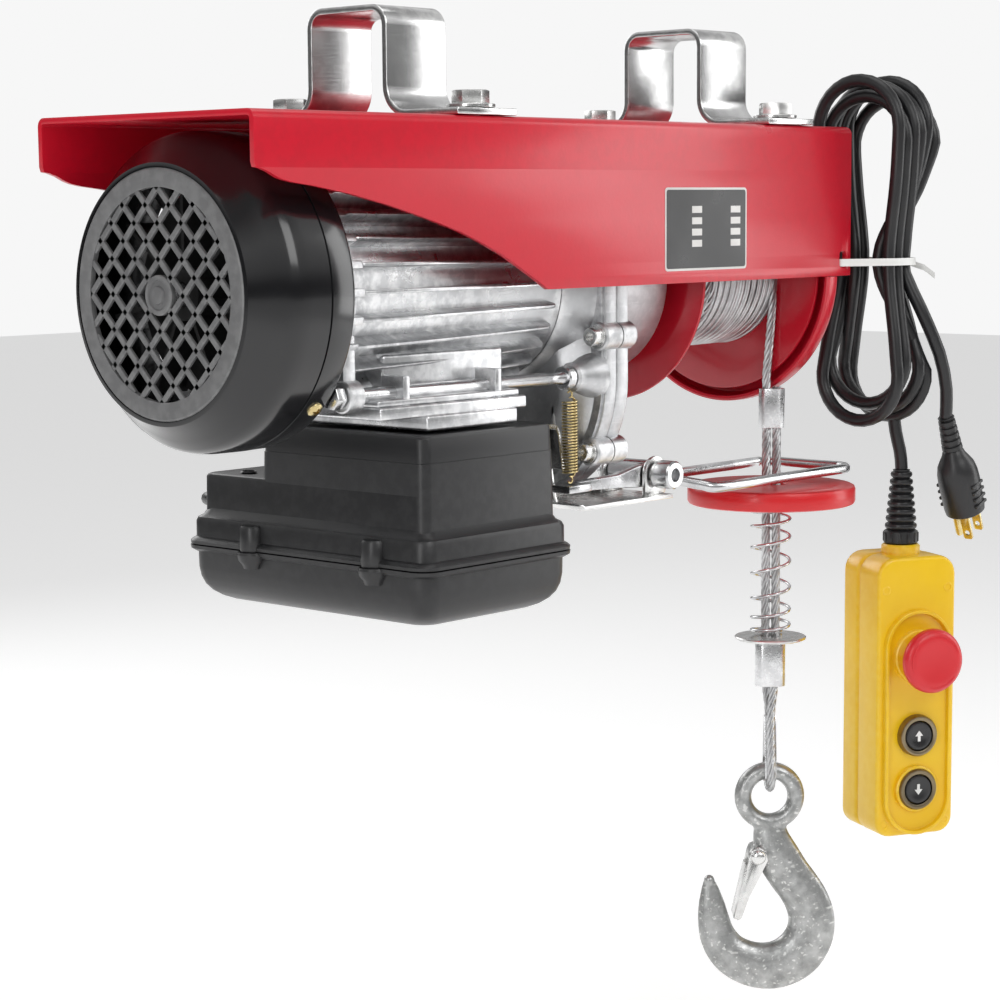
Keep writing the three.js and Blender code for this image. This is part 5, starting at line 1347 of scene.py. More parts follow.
# ------------------------------------------------------------------ control box


def stacked(name, outline, rings):
    """A moulded body: a rounded outline raised through rings of (rise, scale across, scale along)."""
    obj = chain(name, outline, closed=True)
    centre = sum((Vector(p) for p in outline), Vector()) / len(outline)
    edit(obj)
    for rise, sx, sy in rings:
        bpy.ops.mesh.extrude_region_move(TRANSFORM_OT_translate={"value": Vector((0, 0, rise))})
        centre = centre + Vector((0, 0, rise))
        bpy.ops.transform.resize(value=(sx, sy, 1), center_override=centre)
    leave_edit()
    return close_seams(obj)


BOX_END = -0.128
CLIPS = (-0.044, 0.047)


def control_box():
    """A stepped switch box with a proud rim, two clips and two cable glands."""
    x0, x1 = BOX_END, -0.026
    y0, y1, step = -0.075, 0.092, 0.046
    cx = (x0 + x1) / 2
    seam, rim_top = -0.225, -0.210
    upper = stacked(
        "upper", rounded_outline((cx, (y0 + step) / 2, rim_top - 2 * MM), x1 - x0, step - y0, 6 * MM),
        [
            (0.030, 0.992, 0.994), (0.0098, 0.996, 0.997), (0.0002, 0.992, 0.994), (0.0120, 0.996, 0.997),
            (0.0013, 0.986, 0.988), (0.0006, 0.97, 0.975)
        ],
    )
    lower = stacked(
        "lower", rounded_outline((cx, (y0 + y1) / 2, rim_top - 2 * MM), x1 - x0, y1 - y0, 6 * MM),
        [(0.0235, 0.994, 0.996), (0.0013, 0.988, 0.992), (0.0006, 0.975, 0.98)],
    )
    shelf = stacked(
        "shelf",
        rounded_outline(
            (cx, (y0 + y1) / 2, seam + 1.5 * MM), x1 - x0 + 10 * MM, y1 - y0 + 10 * MM, 9 * MM
        ),
        [(0.0110, 0.998, 0.999), (0.0022, 0.985, 0.99), (0.0014, 0.962, 0.975), (0.004, 0.955, 0.972)],
    )
    lip = stacked(
        "lip",
        rounded_outline(
            (cx, (y0 + y1) / 2, seam + 0.3 * MM), x1 - x0 + 15.4 * MM, y1 - y0 + 15.4 * MM, 11 * MM
        ),
        [(0.0016, 1.003, 1.002), (0.0012, 0.985, 0.99), (0.0016, 0.955, 0.972)],
    )
    pieces = [upper, lower, shelf, lip]
    for y in CLIPS:
        clip = turned(
            "clip",
            [
                (-0.2255, 0), (-0.2255, 0.0066), (-0.2240, 0.0072), (-0.2130, 0.0068), (-0.2115, 0.0060),
                (-0.2112, 0)
            ],
            (x0 - 4.2 * MM, y, 0), Z, 32,
        )
        pieces.append(clip)
    for node_x in (-0.095, -0.060):
        gland = [
            (y1 - 1 * MM, 0.0042), (y1 - 1 * MM, 0.0085), (y1 + 5 * MM, 0.0085), (y1 + 6 * MM, 0.0072),
            (y1 + 13.5 * MM, 0.0062), (y1 + 14 * MM, 0.0056), (y1 + 14 * MM, 0.0042),
        ]
        pieces.append(turned("gland", gland, (node_x, 0, -0.205), Y, 32, closed=True))
    screw = turned(
        "pit",
        [
            (-0.1866, 0), (-0.1866, 0.0038), (-0.1859, 0.0046), (-0.1852, 0.0038), (-0.1864, 0.0030),
            (-0.1864, 0)
        ],
        (cx - 0.038, 0.068, 0), Z, 28
    )
    pieces.append(screw)
    box = smooth(join("switch_box", pieces), 32)
    return hand_over(box, "hoist", MOULDED_BLACK, "control_box")


def box_lid():
    """The lower tray: a proud lip and walls that curve in to a flat bottom."""
    lo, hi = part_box("control_box_lid")
    cx, cy = (lo.x + hi.x) / 2, (lo.y + hi.y) / 2
    width, length = hi.x - lo.x - 6 * MM, hi.y - lo.y - 6 * MM
    lip = stacked(
        "lip", rounded_outline((cx, cy, hi.z - 3.4 * MM), width + 1.5 * MM, length + 1.5 * MM, 10 * MM),
        [(0.0014, 1.03, 1.02), (0.0018, 1.004, 1.003), (0.0002, 0.98, 0.985)],
    )
    wall = stacked(
        "wall", rounded_outline((cx, cy, hi.z - 0.5 * MM), width, length, 11 * MM),
        [
            (-0.0120, 0.996, 0.998), (-0.0050, 0.986, 0.992), (-0.0042, 0.970, 0.982),
            (-0.0036, 0.948, 0.968), (-0.0028, 0.925, 0.955), (-0.0020, 0.90, 0.938),
            (-0.0011, 0.88, 0.925), (-0.0004, 0.90, 0.94),
        ],
    )
    pieces = [lip, wall]
    for y in CLIPS:
        clip = turned(
            "clip",
            [
                (-0.2256, 0), (-0.2256, 0.0080), (-0.2270, 0.0086), (-0.2300, 0.0080), (-0.2325, 0.0060),
                (-0.2345, 0.0052), (-0.2345, 0.0030), (-0.2335, 0.0028), (-0.2335, 0)
            ],
            (BOX_END - 4.2 * MM, y, 0), Z, 32,
        )
        pieces.append(clip)
    tray = smooth(join("switch_box_tray", pieces), 32)
    return hand_over(tray, "hoist", MOULDED_BLACK, "control_box_lid")


# ------------------------------------------------------------------ limit switch gear

PIN = Vector((joints["limit_arm_pivot"]["pos_m"][0], 0, joints["limit_arm_pivot"]["pos_m"][2]))


def limit_bracket():
    """A folded plate with two eared cheeks for the pivot, screwed up from below."""
    y0, y1 = -0.060, -0.012
    sheet = 2.5 * MM
    floor_z = -0.2078
    side = [
        (-24, -163), (-2, -163), (0.5, -164), (2, -167), (9, -203), (11, -207.2), (14.5, -209),
        (40, -209), (92, -209)
    ]
    strip = ribbon("plate", [Vector((x * MM, y0, z * MM)) for x, z in side], (0, y1 - y0, 0), sheet)
    notch = block("notch", (-0.03, y0 - 0.01, -0.2060), (0.0155, -0.052, -0.150))
    window = block("window", (-0.002, -0.062, -0.2065), (0.018, -0.043, -0.187), 0.5 * MM, 1)
    carve(strip, notch, window)
    round_edges(strip, 0.5 * MM, 2, 50)
    pieces = [strip]
    for y in (-0.053, -0.022):
        outline = arc((PIN.x, y, PIN.z), 0.010, 0, 180, 20, X, Z) + [
            Vector((PIN.x - 0.010, y, floor_z)), Vector((PIN.x + 0.008, y, floor_z)),
            Vector((PIN.x + 0.010, y, PIN.z - 0.006))
        ]
        ear = slab("ear", [p - Y * (sheet / 2) for p in outline], (0, sheet, 0))
        bore = turned(
            "bore", [(-0.06, 0), (-0.06, 0.0043), (-0.01, 0.0043), (-0.01, 0)], (PIN.x, 0, PIN.z), Y, 32
        )
        carve(ear, bore)
        pieces.append(round_edges(ear, 0.5 * MM, 2, 50))
    pieces.append(
        block(
            "guard", (PIN.x - 0.052, -0.0175, floor_z), (PIN.x + 0.004, -0.0155, floor_z + 0.006),
            0.5 * MM, 1
        )
    )
    for x in (0.028, 0.046):
        screw = [(-0.2076, 0), (-0.2076, 0.0045), (-0.2102, 0.0045), (-0.2118, 0.0036), (-0.2122, 0)]
        pieces.append(turned("screw", screw, (x, -0.036, 0), Z, 24))
    made = smooth(join("limit_plate", pieces), 35)
    return hand_over(made, "hoist", ZINC, "limit_bracket")


def limit_pin():
    """A shoulder screw with a hexagon socket, and its nut."""
    y0 = low("limit_pin").y
    profile = [
        (0, 0.0040), (0, 0.0070), (1.0 * MM, 0.0080), (11.4 * MM, 0.0080), (12 * MM, 0.0076),
        (12 * MM, 0.0040), (0.0535, 0.0040), (0.0540, 0.0036), (0.0540, 0), (7 * MM, 0), (7 * MM, 0.0040)
    ]
    screw = turned("shoulder_screw", profile, (PIN.x, y0, PIN.z), Y, 48, closed=True)
    bottom = slab("socket", hex_points((PIN.x, y0 + 0.3 * MM, PIN.z), 7.4 * MM, X, Z, 12), (0, 7.5 * MM, 0))
    collar = turned(
        "collar", [(0.3 * MM, 0.0038), (0.3 * MM, 0.0070), (3 * MM, 0.0070), (3 * MM, 0.0038)],
        (PIN.x, y0, PIN.z), Y, 48, closed=True
    )
    carve(collar, bottom)
    nut = slab(
        "nut", hex_points((PIN.x, high("limit_pin").y - 6.5 * MM, PIN.z), 11.2 * MM, X, Z),
        (0, 5.2 * MM, 0)
    )
    round_edges(nut, 0.4 * MM, 2, 30)
    made = smooth(join("pivot_screw", [screw, collar, nut]), 35)
    return hand_over(made, "hoist", BRIGHT_STEEL, "limit_pin")


def limit_arm():
    """One bent rod round the rope, welded to a hub that carries the spring lever."""
    z = -0.206
    x1, bend, near_y, far_y = 0.2582, 0.012, -0.070, -0.004
    start = PIN.x + 0.026
    corner_a = [(p.x, p.y, z) for p in arc((x1 - bend, near_y + bend, z), bend, -90, 0, 8, X, Y)]
    corner_b = [(p.x, p.y, z) for p in arc((x1 - bend, far_y - bend, z), bend, 0, 90, 8, X, Y)]
    line = [
        (PIN.x + 0.008, near_y + 0.032, z + 0.006), (start - 0.008, near_y + 0.020, z + 0.005),
        (start + 0.002, near_y + 0.006, z + 0.002), (start + 0.014, near_y, z),
        ((start + x1) / 2, near_y, z),
    ]
    line += corner_a + corner_b
    line += [
        ((start + x1) / 2, far_y, z), (start + 0.014, far_y, z), (start, far_y - 0.004, z + 0.001),
        (start - 0.009, far_y - 0.020, z + 0.004), (PIN.x + 0.006, far_y - 0.031, z + 0.006),
    ]
    loop = rod("loop", smooth_path(line, 5), 3.1 * MM, resolution=5)
    hub_low, hub_high = -0.0512, -0.0238
    hub = turned(
        "hub",
        [
            (hub_low, 0.0044), (hub_low, 0.0068), (hub_low + 0.6 * MM, 0.0075),
            (hub_high - 0.6 * MM, 0.0075), (hub_high, 0.0068), (hub_high, 0.0044)
        ],
        (PIN.x, 0, PIN.z), Y, 48, closed=True
    )
    spring_x = (low("limit_spring").x + high("limit_spring").x) / 2
    outline = [
        (PIN.x + 0.003, PIN.z - 0.0072), (PIN.x + 0.003, PIN.z + 0.0066), (PIN.x - 0.012, PIN.z + 0.0052),
        (PIN.x - 0.030, PIN.z + 0.0016), (spring_x + 0.014, PIN.z + 0.0008),
        (spring_x + 0.013, PIN.z - 0.0046), (PIN.x - 0.030, PIN.z - 0.0060),
        (PIN.x - 0.012, PIN.z - 0.0070),
    ]
    lever = slab("lever", [Vector((x, hub_low, zz)) for x, zz in outline], (0, 0.006, 0))
    round_edges(lever, 0.8 * MM, 3, 40)
    reach = block(
        "reach", (spring_x - 0.004, -0.0610, PIN.z - 0.0036),
        (spring_x + 0.015, hub_low + 0.006, PIN.z + 0.0006), 0.8 * MM, 2
    )
    seat = block(
        "seat", (PIN.x - 0.002, hub_low, PIN.z - 0.0078), (PIN.x + 0.011, hub_high, PIN.z), 1.5 * MM, 3
    )
    made = smooth(join("weight_stop_arm", [loop, hub, lever, reach, seat]), 40)
    return hand_over(made, "limit_arm", BRIGHT_STEEL, "limit_arm")


def coil(name, centre, radius, wire, turns, length, ease=0.0, resolution=3):
    """A helical spring standing on centre; ease closes its end turns up."""
    points = []
    count = int(turns * 20)
    for i in range(count + 1):
        t = i / count
        angle = 2 * math.pi * turns * t
        rise = t + ease * (math.sin(2 * math.pi * t) / (2 * math.pi))
        points.append(
            Vector(centre) + Vector((radius * math.cos(angle), radius * math.sin(angle), length * rise))
        )
    return rod(name, points, wire / 2, resolution=resolution)


def limit_spring():
    """A close-wound tension spring with a hook at each end."""
    lo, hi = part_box("limit_spring")
    centre = Vector(((lo.x + hi.x) / 2, (lo.y + hi.y) / 2, lo.z + 4 * MM))
    length = hi.z - lo.z - 8 * MM
    body = coil("body", centre, 4.0 * MM, 1.15 * MM, 25, length, resolution=2)
    pieces = [body]
    for z, way in ((lo.z + 4 * MM, -1), (hi.z - 4 * MM, 1)):
        hook = [
            Vector((centre.x + 4 * MM, centre.y, z)),
            Vector((centre.x + 2.4 * MM, centre.y, z + way * 1.6 * MM)),
            Vector((centre.x, centre.y, z + way * 1.6 * MM))
        ]
        hook += arc((centre.x, centre.y, z + way * 3.4 * MM), 1.8 * MM, -90 * way, 150 * way, 8, X, Z)
        pieces.append(rod("hook", smooth_path(hook, 3), 0.575 * MM, resolution=2))
    made = smooth(join("return_spring", pieces), 60)
    made.data.materials.clear()
    made.data.materials.append(BRASS_WIRE)
    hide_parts("limit_spring")
    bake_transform(made)
    return made


# ------------------------------------------------------------------ load line


def on_hook(x, y, z):
    """A point in the hook's own frame: x across its face, y through it, z up from the eye, in millimetres."""
    return EYE + (HOOK_SIDE * x + HOOK_OUT * y + Z * z) * MM


def line_point(x, y, z):
    """A point on the load line: x and y as on the hook, z in the row frame, in millimetres."""
    return Vector((EYE.x, EYE.y, 0)) + (HOOK_SIDE * x + HOOK_OUT * y + Z * z) * MM


def hanging_rope():
    fall_top = Vector((EYE.x, EYE.y, AXIS_Z))
    foot = line_point(-3.1, 0, -168)
    points = [fall_top, fall_top - Z * 0.02, fall_top.lerp(foot, 0.55), foot + Z * 0.02, foot]
    fall = wire_rope("rope_to_hook", smooth_path(points, 6), WIRE_R)
    fall.data.materials.append(ROPE_STEEL)
    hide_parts("rope_fall")
    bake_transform(fall)
    down = [
        (-3.1, 0, -157), (-3.1, 0, -200), (-3.1, 0, -260), (-3.1, 0, -310), (-3.0, 0.2, -330),
        (-1.8, 2.0, -343), (-0.4, 3.2, -354), (0, 6.4, -370), (0, 9.6, -383)
    ]
    bend = [(p.y / MM, p.z / MM) for p in arc((0, 0, 0), 10.9 * MM, 0, -180, 10)]
    under = [(0, y, -392.6 + z) for y, z in bend]
    up = [
        (0, -9.6, -383), (0, -6.4, -370), (0.4, -3.2, -354), (1.8, -2.0, -343), (3.0, -0.2, -330),
        (3.1, 0, -310), (3.1, 0, -260), (3.1, 0, -200), (3.1, 0, -155)
    ]
    loop = wire_rope(
        "rope_round_eye", smooth_path([line_point(*p) for p in down + under + up], 6), WIRE_R,
        spacing=2.6 * MM
    )
    hand_over(loop, "load_line", ROPE_STEEL, "rope_loop")


def ferrule(node, name, barrels):
    """A pressed sleeve gripping two parts of rope, its sides squeezed flat between them."""
    lo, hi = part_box(node)
    middle = Vector((EYE.x, EYE.y, lo.z))
    outline = []
    for point in barrels:
        outline.append(middle + HOOK_SIDE * point[0] * MM + HOOK_OUT * point[1] * MM)
    sleeve = slab(name, outline, (0, 0, hi.z - lo.z))
    cut = slab(
        "bore", rounded_outline(middle - Z * 0.01, 12.2 * MM, 6.0 * MM, 2.9 * MM, HOOK_SIDE, HOOK_OUT, 6),
        (0, 0, hi.z - lo.z + 0.02)
    )
    carve(sleeve, cut)
    round_edges(sleeve, 0.5 * MM, 2, 50)
    return hand_over(smooth(sleeve, 30), "load_line", PRESSED, node)


def two_barrels(spread, radius, waist):
    """Outline of two round barrels side by side with a waist between them, in millimetres."""
    points = []
    for side, start in ((1, -70), (-1, 110)):
        for i in range(15):
            angle = math.radians(start + 140 * i / 14)
            points.append((side * spread + radius * math.cos(angle), radius * math.sin(angle)))
        points.append((0, side * waist))
    return points


def thimble():
    """A thin curved liner between the rope's loop and the eye."""
    inner = [(0, 1.0, -358), (0, 3.8, -370), (0, 6.4, -382)] + [
        (0, p.y / MM, -392.6 + p.z / MM) for p in arc((0, 0, 0), 7.1 * MM, 0, -180, 14)
    ] + [(0, -6.4, -382), (0, -3.8, -370), (0, -1.0, -358)]
    line = [line_point(*p) for p in inner]
    strip = ribbon(
        "thimble", [p - HOOK_SIDE * 3.6 * MM for p in smooth_path(line, 2)], HOOK_SIDE * 7.2 * MM,
        0.8 * MM
    )
    round_edges(strip, 0.25 * MM, 2, 50)
    return hand_over(smooth(strip, 40), "load_line", BRIGHT_STEEL)


def stop_weight():
    lo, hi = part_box("stop_weight")
    thick, reach = hi.z - lo.z, 0.051
    profile = [
        (0.5 * MM, 0.009), (0, 0.0096), (0, reach - 2.5 * MM), (0.7 * MM, reach - 0.8 * MM),
        (2.2 * MM, reach), (thick - 2.6 * MM, reach), (thick - 1.0 * MM, reach - 0.7 * MM),
        (thick - 0.2 * MM, reach - 2.2 * MM), (thick - 0.2 * MM, reach - 5.0 * MM),
        (thick, reach - 5.8 * MM), (thick, 0.0096), (thick - 0.6 * MM, 0.009),
    ]
    disc = turned("weight_disc", profile, (EYE.x, EYE.y, lo.z), Z, 112, closed=True)
    return hand_over(smooth(disc, 30), "stop_weight", RED_WEIGHT, "stop_weight")


def spring_and_washer():
    lo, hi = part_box("buffer_spring")
    centre = (EYE.x, EYE.y, lo.z + 1 * MM)
    spring = coil(
        "cushion_spring", centre, 11.6 * MM, 2 * MM, 7, hi.z - lo.z - 2 * MM, ease=-0.45, resolution=4
    )
    spring.data.materials.append(BRIGHT_STEEL)
    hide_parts("buffer_spring")
    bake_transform(spring)
    lo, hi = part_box("buffer_washer")
    disc = turned(
        "spring_washer",
        [
            (0, 0.0063), (0, 0.0214), (0.5 * MM, 0.0219), (1.4 * MM, 0.0219), (1.9 * MM, 0.0214),
            (1.9 * MM, 0.0063)
        ],
        (EYE.x, EYE.y, lo.z), Z, 72, closed=True,
    )
    hand_over(smooth(disc, 30), "load_line", ZINC, "buffer_washer")


def hook():
    """A forged eye hook: a swept body that thickens round the bowl and thins to its tip, run into its eye."""
    spine = [
        (0, -17, 9.5), (0.8, -24, 11.0), (2.5, -31, 12.6), (6.0, -39, 13.6), (12.0, -49, 13.6),
        (18.5, -58, 13.6), (23.6, -67, 14.0), (26.7, -78, 14.6), (25.2, -90, 15.2), (18.2, -101, 15.6),
        (7.5, -107.4, 15.3), (-3.8, -108.8, 14.8), (-15.2, -106, 14.0), (-25.0, -99.6, 12.8),
        (-31.6, -89.6, 11.4), (-34.4, -78.4, 10.0), (-35.6, -69, 8.4), (-36.4, -61.5, 6.4),
        (-37.0, -56, 4.6), (-37.2, -52.6, 2.8),
    ]
    line = smooth_path([Vector((x, 0, z)) * MM for x, z, _ in spine], 5)
    radii = smooth_path([Vector((spot[2], 0, 0)) for spot in spine], 5)
    body = rod("body", line, 1 * MM, resolution=7, radii=[r.x for r in radii])
    body.data.transform(Matrix.Diagonal((1, 0.60, 1, 1)))
    ring = turned(
        "eye",
        [
            (y * MM, (16.4 + 5.3 * math.cos(a)) * MM) for a,
            y in [(math.radians(18 * i), 5.6 * math.sin(math.radians(18 * i))) for i in range(20)]
        ],
        (0, 0, 0), Y, 72, closed=True,
    )
    boss = turned(
        "boss",
        [
            (-8.6 * MM, 0), (-8.6 * MM, 0.0050), (-7.4 * MM, 0.0062), (7.4 * MM, 0.0062),
            (8.6 * MM, 0.0050), (8.6 * MM, 0)
        ],
        (-7.5 * MM, 0, -36.6 * MM), Y, 40
    )
    tip = turned(
        "tip", [(0, 0)] + [(p.y, p.z) for p in arc((0, 0.0035, 0), 0.0035, 150, 0, 5)] + [(0.007, 0)],
        (-37.2 * MM, -3.5 * MM, -53.4 * MM), Y, 24
    )
    whole = join("forged_hook", [body, ring, boss, tip])
    add_modifier(whole, "REMESH", mode="VOXEL", voxel_size=0.85 * MM)
    add_modifier(whole, "SMOOTH", factor=0.5, iterations=7)
    place = Matrix((HOOK_SIDE, HOOK_OUT, Z)).transposed().to_4x4()
    place.translation = EYE
    whole.data.transform(place)
    return hand_over(smooth(close_seams(whole, 1e-7), 60), "hook", FORGED, "lifting_hook")


def latch():
    """A pressed channel on a rivet, narrowing to the hook's tip."""
    pivot = Vector((-7.5, 0, -36.6))
    tip = Vector((-17.0, 0, -78.0))
    along = (tip - pivot).normalized()
    across = Vector((along.z, 0, -along.x))
    cheek_outline = [
        (5.2, -5.0), (6.2, -1.0), (4.0, 4.6), (-1.0, 6.0), (-5.0, 3.0), (-5.6, -2.0), (-5.2, -16),
        (-5.0, -30), (-5.0, -41), (-3.2, -42), (-1.4, -40), (0.2, -26), (3.2, -14)
    ]
    pieces = []
    for side in (-1, 1):
        face = side * 9.0
        outline = []
        for a, b in cheek_outline:
            spot = pivot + across * (-a) + along * (-b)
            outline.append(on_hook(spot.x, face, spot.z))
        cheek = slab("cheek", outline, HOOK_OUT * (side * 1.3 * MM))
        pieces.append(round_edges(cheek, 0.35 * MM, 2, 40))
    web = [(-5.4, -8), (-5.4, -41.5)]
    corners = []
    for a, b in web:
        spot = pivot + across * (-a) + along * (-b)
        corners.append(on_hook(spot.x, -10.1, spot.z))
    strip = ribbon("web", corners, HOOK_OUT * 20.2 * MM, 1.3 * MM)
    pieces.append(round_edges(strip, 0.3 * MM, 2, 50))
    rivet = [
        (-12.6 * MM, 0), (-12.6 * MM, 0.0012), (-12.2 * MM, 0.0030), (-11.2 * MM, 0.0043),
        (-10.2 * MM, 0.0046), (-10.2 * MM, 0.0025), (10.2 * MM, 0.0025), (10.2 * MM, 0.0046),
        (11.2 * MM, 0.0043), (12.2 * MM, 0.0030), (12.6 * MM, 0)
    ]
    pieces.append(turned("rivet", rivet, on_hook(pivot.x, 0, pivot.z), HOOK_OUT, 32))
    made = smooth(join("spring_latch", pieces), 40)
    return hand_over(made, "latch", ZINC, "hook_latch")


# ------------------------------------------------------------------ pendant

PENDANT = Vector((297, -78, -262)) * MM
PENDANT_OUT = -Vector(joints["stop_button_press"]["axis"]).normalized()
PENDANT_SIDE = Vector((-PENDANT_OUT.y, PENDANT_OUT.x, 0))
STOP_DROP, UP_DROP, DOWN_DROP = -62, -112, -146  # the buttons, in millimetres below its top


def on_pendant(x, out, z):
    """A point on the pendant: x across its face, out from its middle, z up from its top, in millimetres."""
    return PENDANT + (PENDANT_SIDE * x + PENDANT_OUT * out + Z * z) * MM


def pendant_outline(out, inset=0.0):
    """Taller than wide, its upper corners cut back to the cable collar."""
    w, h = 27 - inset, 176 - inset
    corners = []
    corners += arc(on_pendant(-w + 10, out, -h + 10), 10 * MM, 180, 270, 6, PENDANT_SIDE, Z)
    corners += arc(on_pendant(w - 10, out, -h + 10), 10 * MM, 270, 360, 6, PENDANT_SIDE, Z)
    corners += arc(on_pendant(w - 12, out, -12 - inset), 12 * MM, 0, 90, 6, PENDANT_SIDE, Z)
    corners += arc(on_pendant(-w + 12, out, -12 - inset), 12 * MM, 90, 180, 6, PENDANT_SIDE, Z)
    return corners


def racetrack(out, width, height, middle):
    return rounded_outline(
        on_pendant(0, out, middle), width * MM, height * MM, (width / 2 - 0.1) * MM, PENDANT_SIDE, Z, 12
    )


def pendant_shell():
    """Two yellow shells, a raised racetrack lip round the buttons, and a collar for the sleeve."""
    front = slab("shell", pendant_outline(0.15), PENDANT_OUT * 25.8 * MM)
    round_edges(front, 2.4 * MM, 4, 60)
    middle = -104
    lip = slab("lip", racetrack(24, 46, 142, middle), PENDANT_OUT * 6 * MM)
    select_faces(lip, lambda c, n: n.dot(PENDANT_OUT) > 0.9)
    bpy.ops.mesh.inset(thickness=2.3 * MM)
    bpy.ops.mesh.extrude_region_move(TRANSFORM_OT_translate={"value": PENDANT_OUT * (-3.6 * MM)})
    leave_edit()
    round_edges(lip, 0.6 * MM, 3, 50)
    pieces = [front, lip]
    for drop in (UP_DROP, DOWN_DROP):
        well = turned(
            "well",
            [
                (26 * MM, 0.0126), (26 * MM, 15.2 * MM - 0.4 * MM), (28.6 * MM, 0.0146),
                (29.2 * MM, 0.0139), (29.2 * MM, 0.0126)
            ],
            on_pendant(0, 0, drop), PENDANT_OUT, 48, closed=True
        )
        pieces.append(well)
    collar = turned(
        "collar",
        [
            (-5 * MM, 0.0052), (-5 * MM, 0.0120), (4.6 * MM, 0.0120), (5.8 * MM, 0.0108),
            (5.8 * MM, 0.0052)
        ],
        on_pendant(0, 4, 0), Z, 40, closed=True
    )
    pieces.append(collar)
    for x, z in ((-21.5, -20), (21.5, -20), (-21.5, -168), (21.5, -168)):
        pit = turned(
            "pit",
            [
                (23 * MM, 0), (23 * MM, 0.0030), (25.9 * MM, 0.0030), (26.2 * MM, 0.0026),
                (26.2 * MM, 0.0018), (25.2 * MM, 0.0016), (25.2 * MM, 0)
            ],
            on_pendant(x, 0, z), PENDANT_OUT, 24
        )
        pieces.append(pit)
    shell = smooth(join("pendant_face", pieces), 35)
    hand_over(shell, "hoist", YELLOW, "pendant_front")
    back = slab("pendant_rear", pendant_outline(-0.15), PENDANT_OUT * (-20.6 * MM))
    round_edges(back, 3.5 * MM, 4, 60)
    grip = []
    for i in range(5):
        rib = block("rib", (-0.012, -0.001, -0.0012), (0.012, 0.001, 0.0012), 0.5 * MM, 2)
        turn = Matrix((PENDANT_SIDE, PENDANT_OUT, Z)).transposed().to_4x4()
        grip.append(placed_copy(rib, Matrix.Translation(on_pendant(0, -20.6, -70 - 9 * i)) @ turn))
        bpy.data.objects.remove(rib, do_unlink=True)
    back = smooth(join("pendant_rear", [back] + grip), 35)
    hand_over(back, "hoist", YELLOW, "pendant_back")


def arrow_outline(x, out, z, up, size):
    way = 1 if up else -1
    shape = [(-0.28, -1), (0.28, -1), (0.28, 0), (0.8, 0), (0, 1), (-0.8, 0), (-0.28, 0)]
    return [on_pendant(x + a * size, out, z + b * size * way) for a, b in shape]


def pendant_buttons():
    """A mushroom stop button with turn arrows, and two domed keys in metal rings."""
    drop = STOP_DROP
    base = 26 + 2.4
    profile = [
        (20 * MM, 0), (20 * MM, 0.0108), ((base + 13) * MM, 0.0108), ((base + 13.2) * MM, 0.0160),
        ((base + 14) * MM, 0.0190), ((base + 15.5) * MM, 0.0199), ((base + 18.4) * MM, 0.0198),
        ((base + 20.4) * MM, 0.0188), ((base + 21.6) * MM, 0.0168), ((base + 22) * MM, 0.0145),
        ((base + 21.8) * MM, 0.0120), ((base + 21.2) * MM, 0.0060), ((base + 21.0) * MM, 0),
    ]
    cap = turned("mushroom", profile, on_pendant(0, 0, drop), PENDANT_OUT, 72)
    pieces = [cap]
    for start in (20, 140, 260):
        band = arc(on_pendant(0, base + 21.95, drop), 16.2 * MM, start, start + 62, 8, PENDANT_SIDE, Z)
        mark = ribbon("mark", band, PENDANT_OUT * (-1.2 * MM), 0.9 * MM)
        pieces.append(mark)
    made = smooth(join("stop_mushroom", pieces), 35)
    hand_over(made, "stop_button", STOP_RED, "stop_button")
    seat = turned(
        "stop_seat",
        [
            (26 * MM, 0.0114), (26 * MM, 0.0170), (29.5 * MM, 0.0166), (30.2 * MM, 0.0158),
            (30.2 * MM, 0.0114)
        ],
        on_pendant(0, 0, drop), PENDANT_OUT, 56, closed=True
    )
    hand_over(smooth(seat, 35), "hoist", YELLOW)
    for node, z, up in (("up_button", UP_DROP, True), ("down_button", DOWN_DROP, False)):
        key = turned(
            node + "_key",
            [
                (20 * MM, 0), (20 * MM, 0.0090), (30.2 * MM, 0.0090), (31.0 * MM, 0.0084),
                (31.2 * MM, 0.0070), (30.6 * MM, 0.0052), (30.3 * MM, 0)
            ],
            on_pendant(0, 0, z), PENDANT_OUT, 56
        )
        key.data.materials.append(BLACK_KEY)
        mark = slab("mark", arrow_outline(0, 30.2, z, up, 3.4), PENDANT_OUT * 0.45 * MM)
        mark.data.materials.append(ARROW_WHITE)
        made = smooth(join(node + "_key", [key, mark]), 35)
        hand_over(made, node, None, node)
        ring = turned(
            node + "_ring",
            [
                (26 * MM, 0.0095), (26 * MM, 0.0132), (29.8 * MM, 0.0130), (31.0 * MM, 0.0122),
                (31.2 * MM, 0.0112), (30.6 * MM, 0.0098), (30.0 * MM, 0.0095)
            ],
            on_pendant(0, 0, z), PENDANT_OUT, 56, closed=True
        )
        hand_over(smooth(ring, 35), "hoist", KEY_RING)


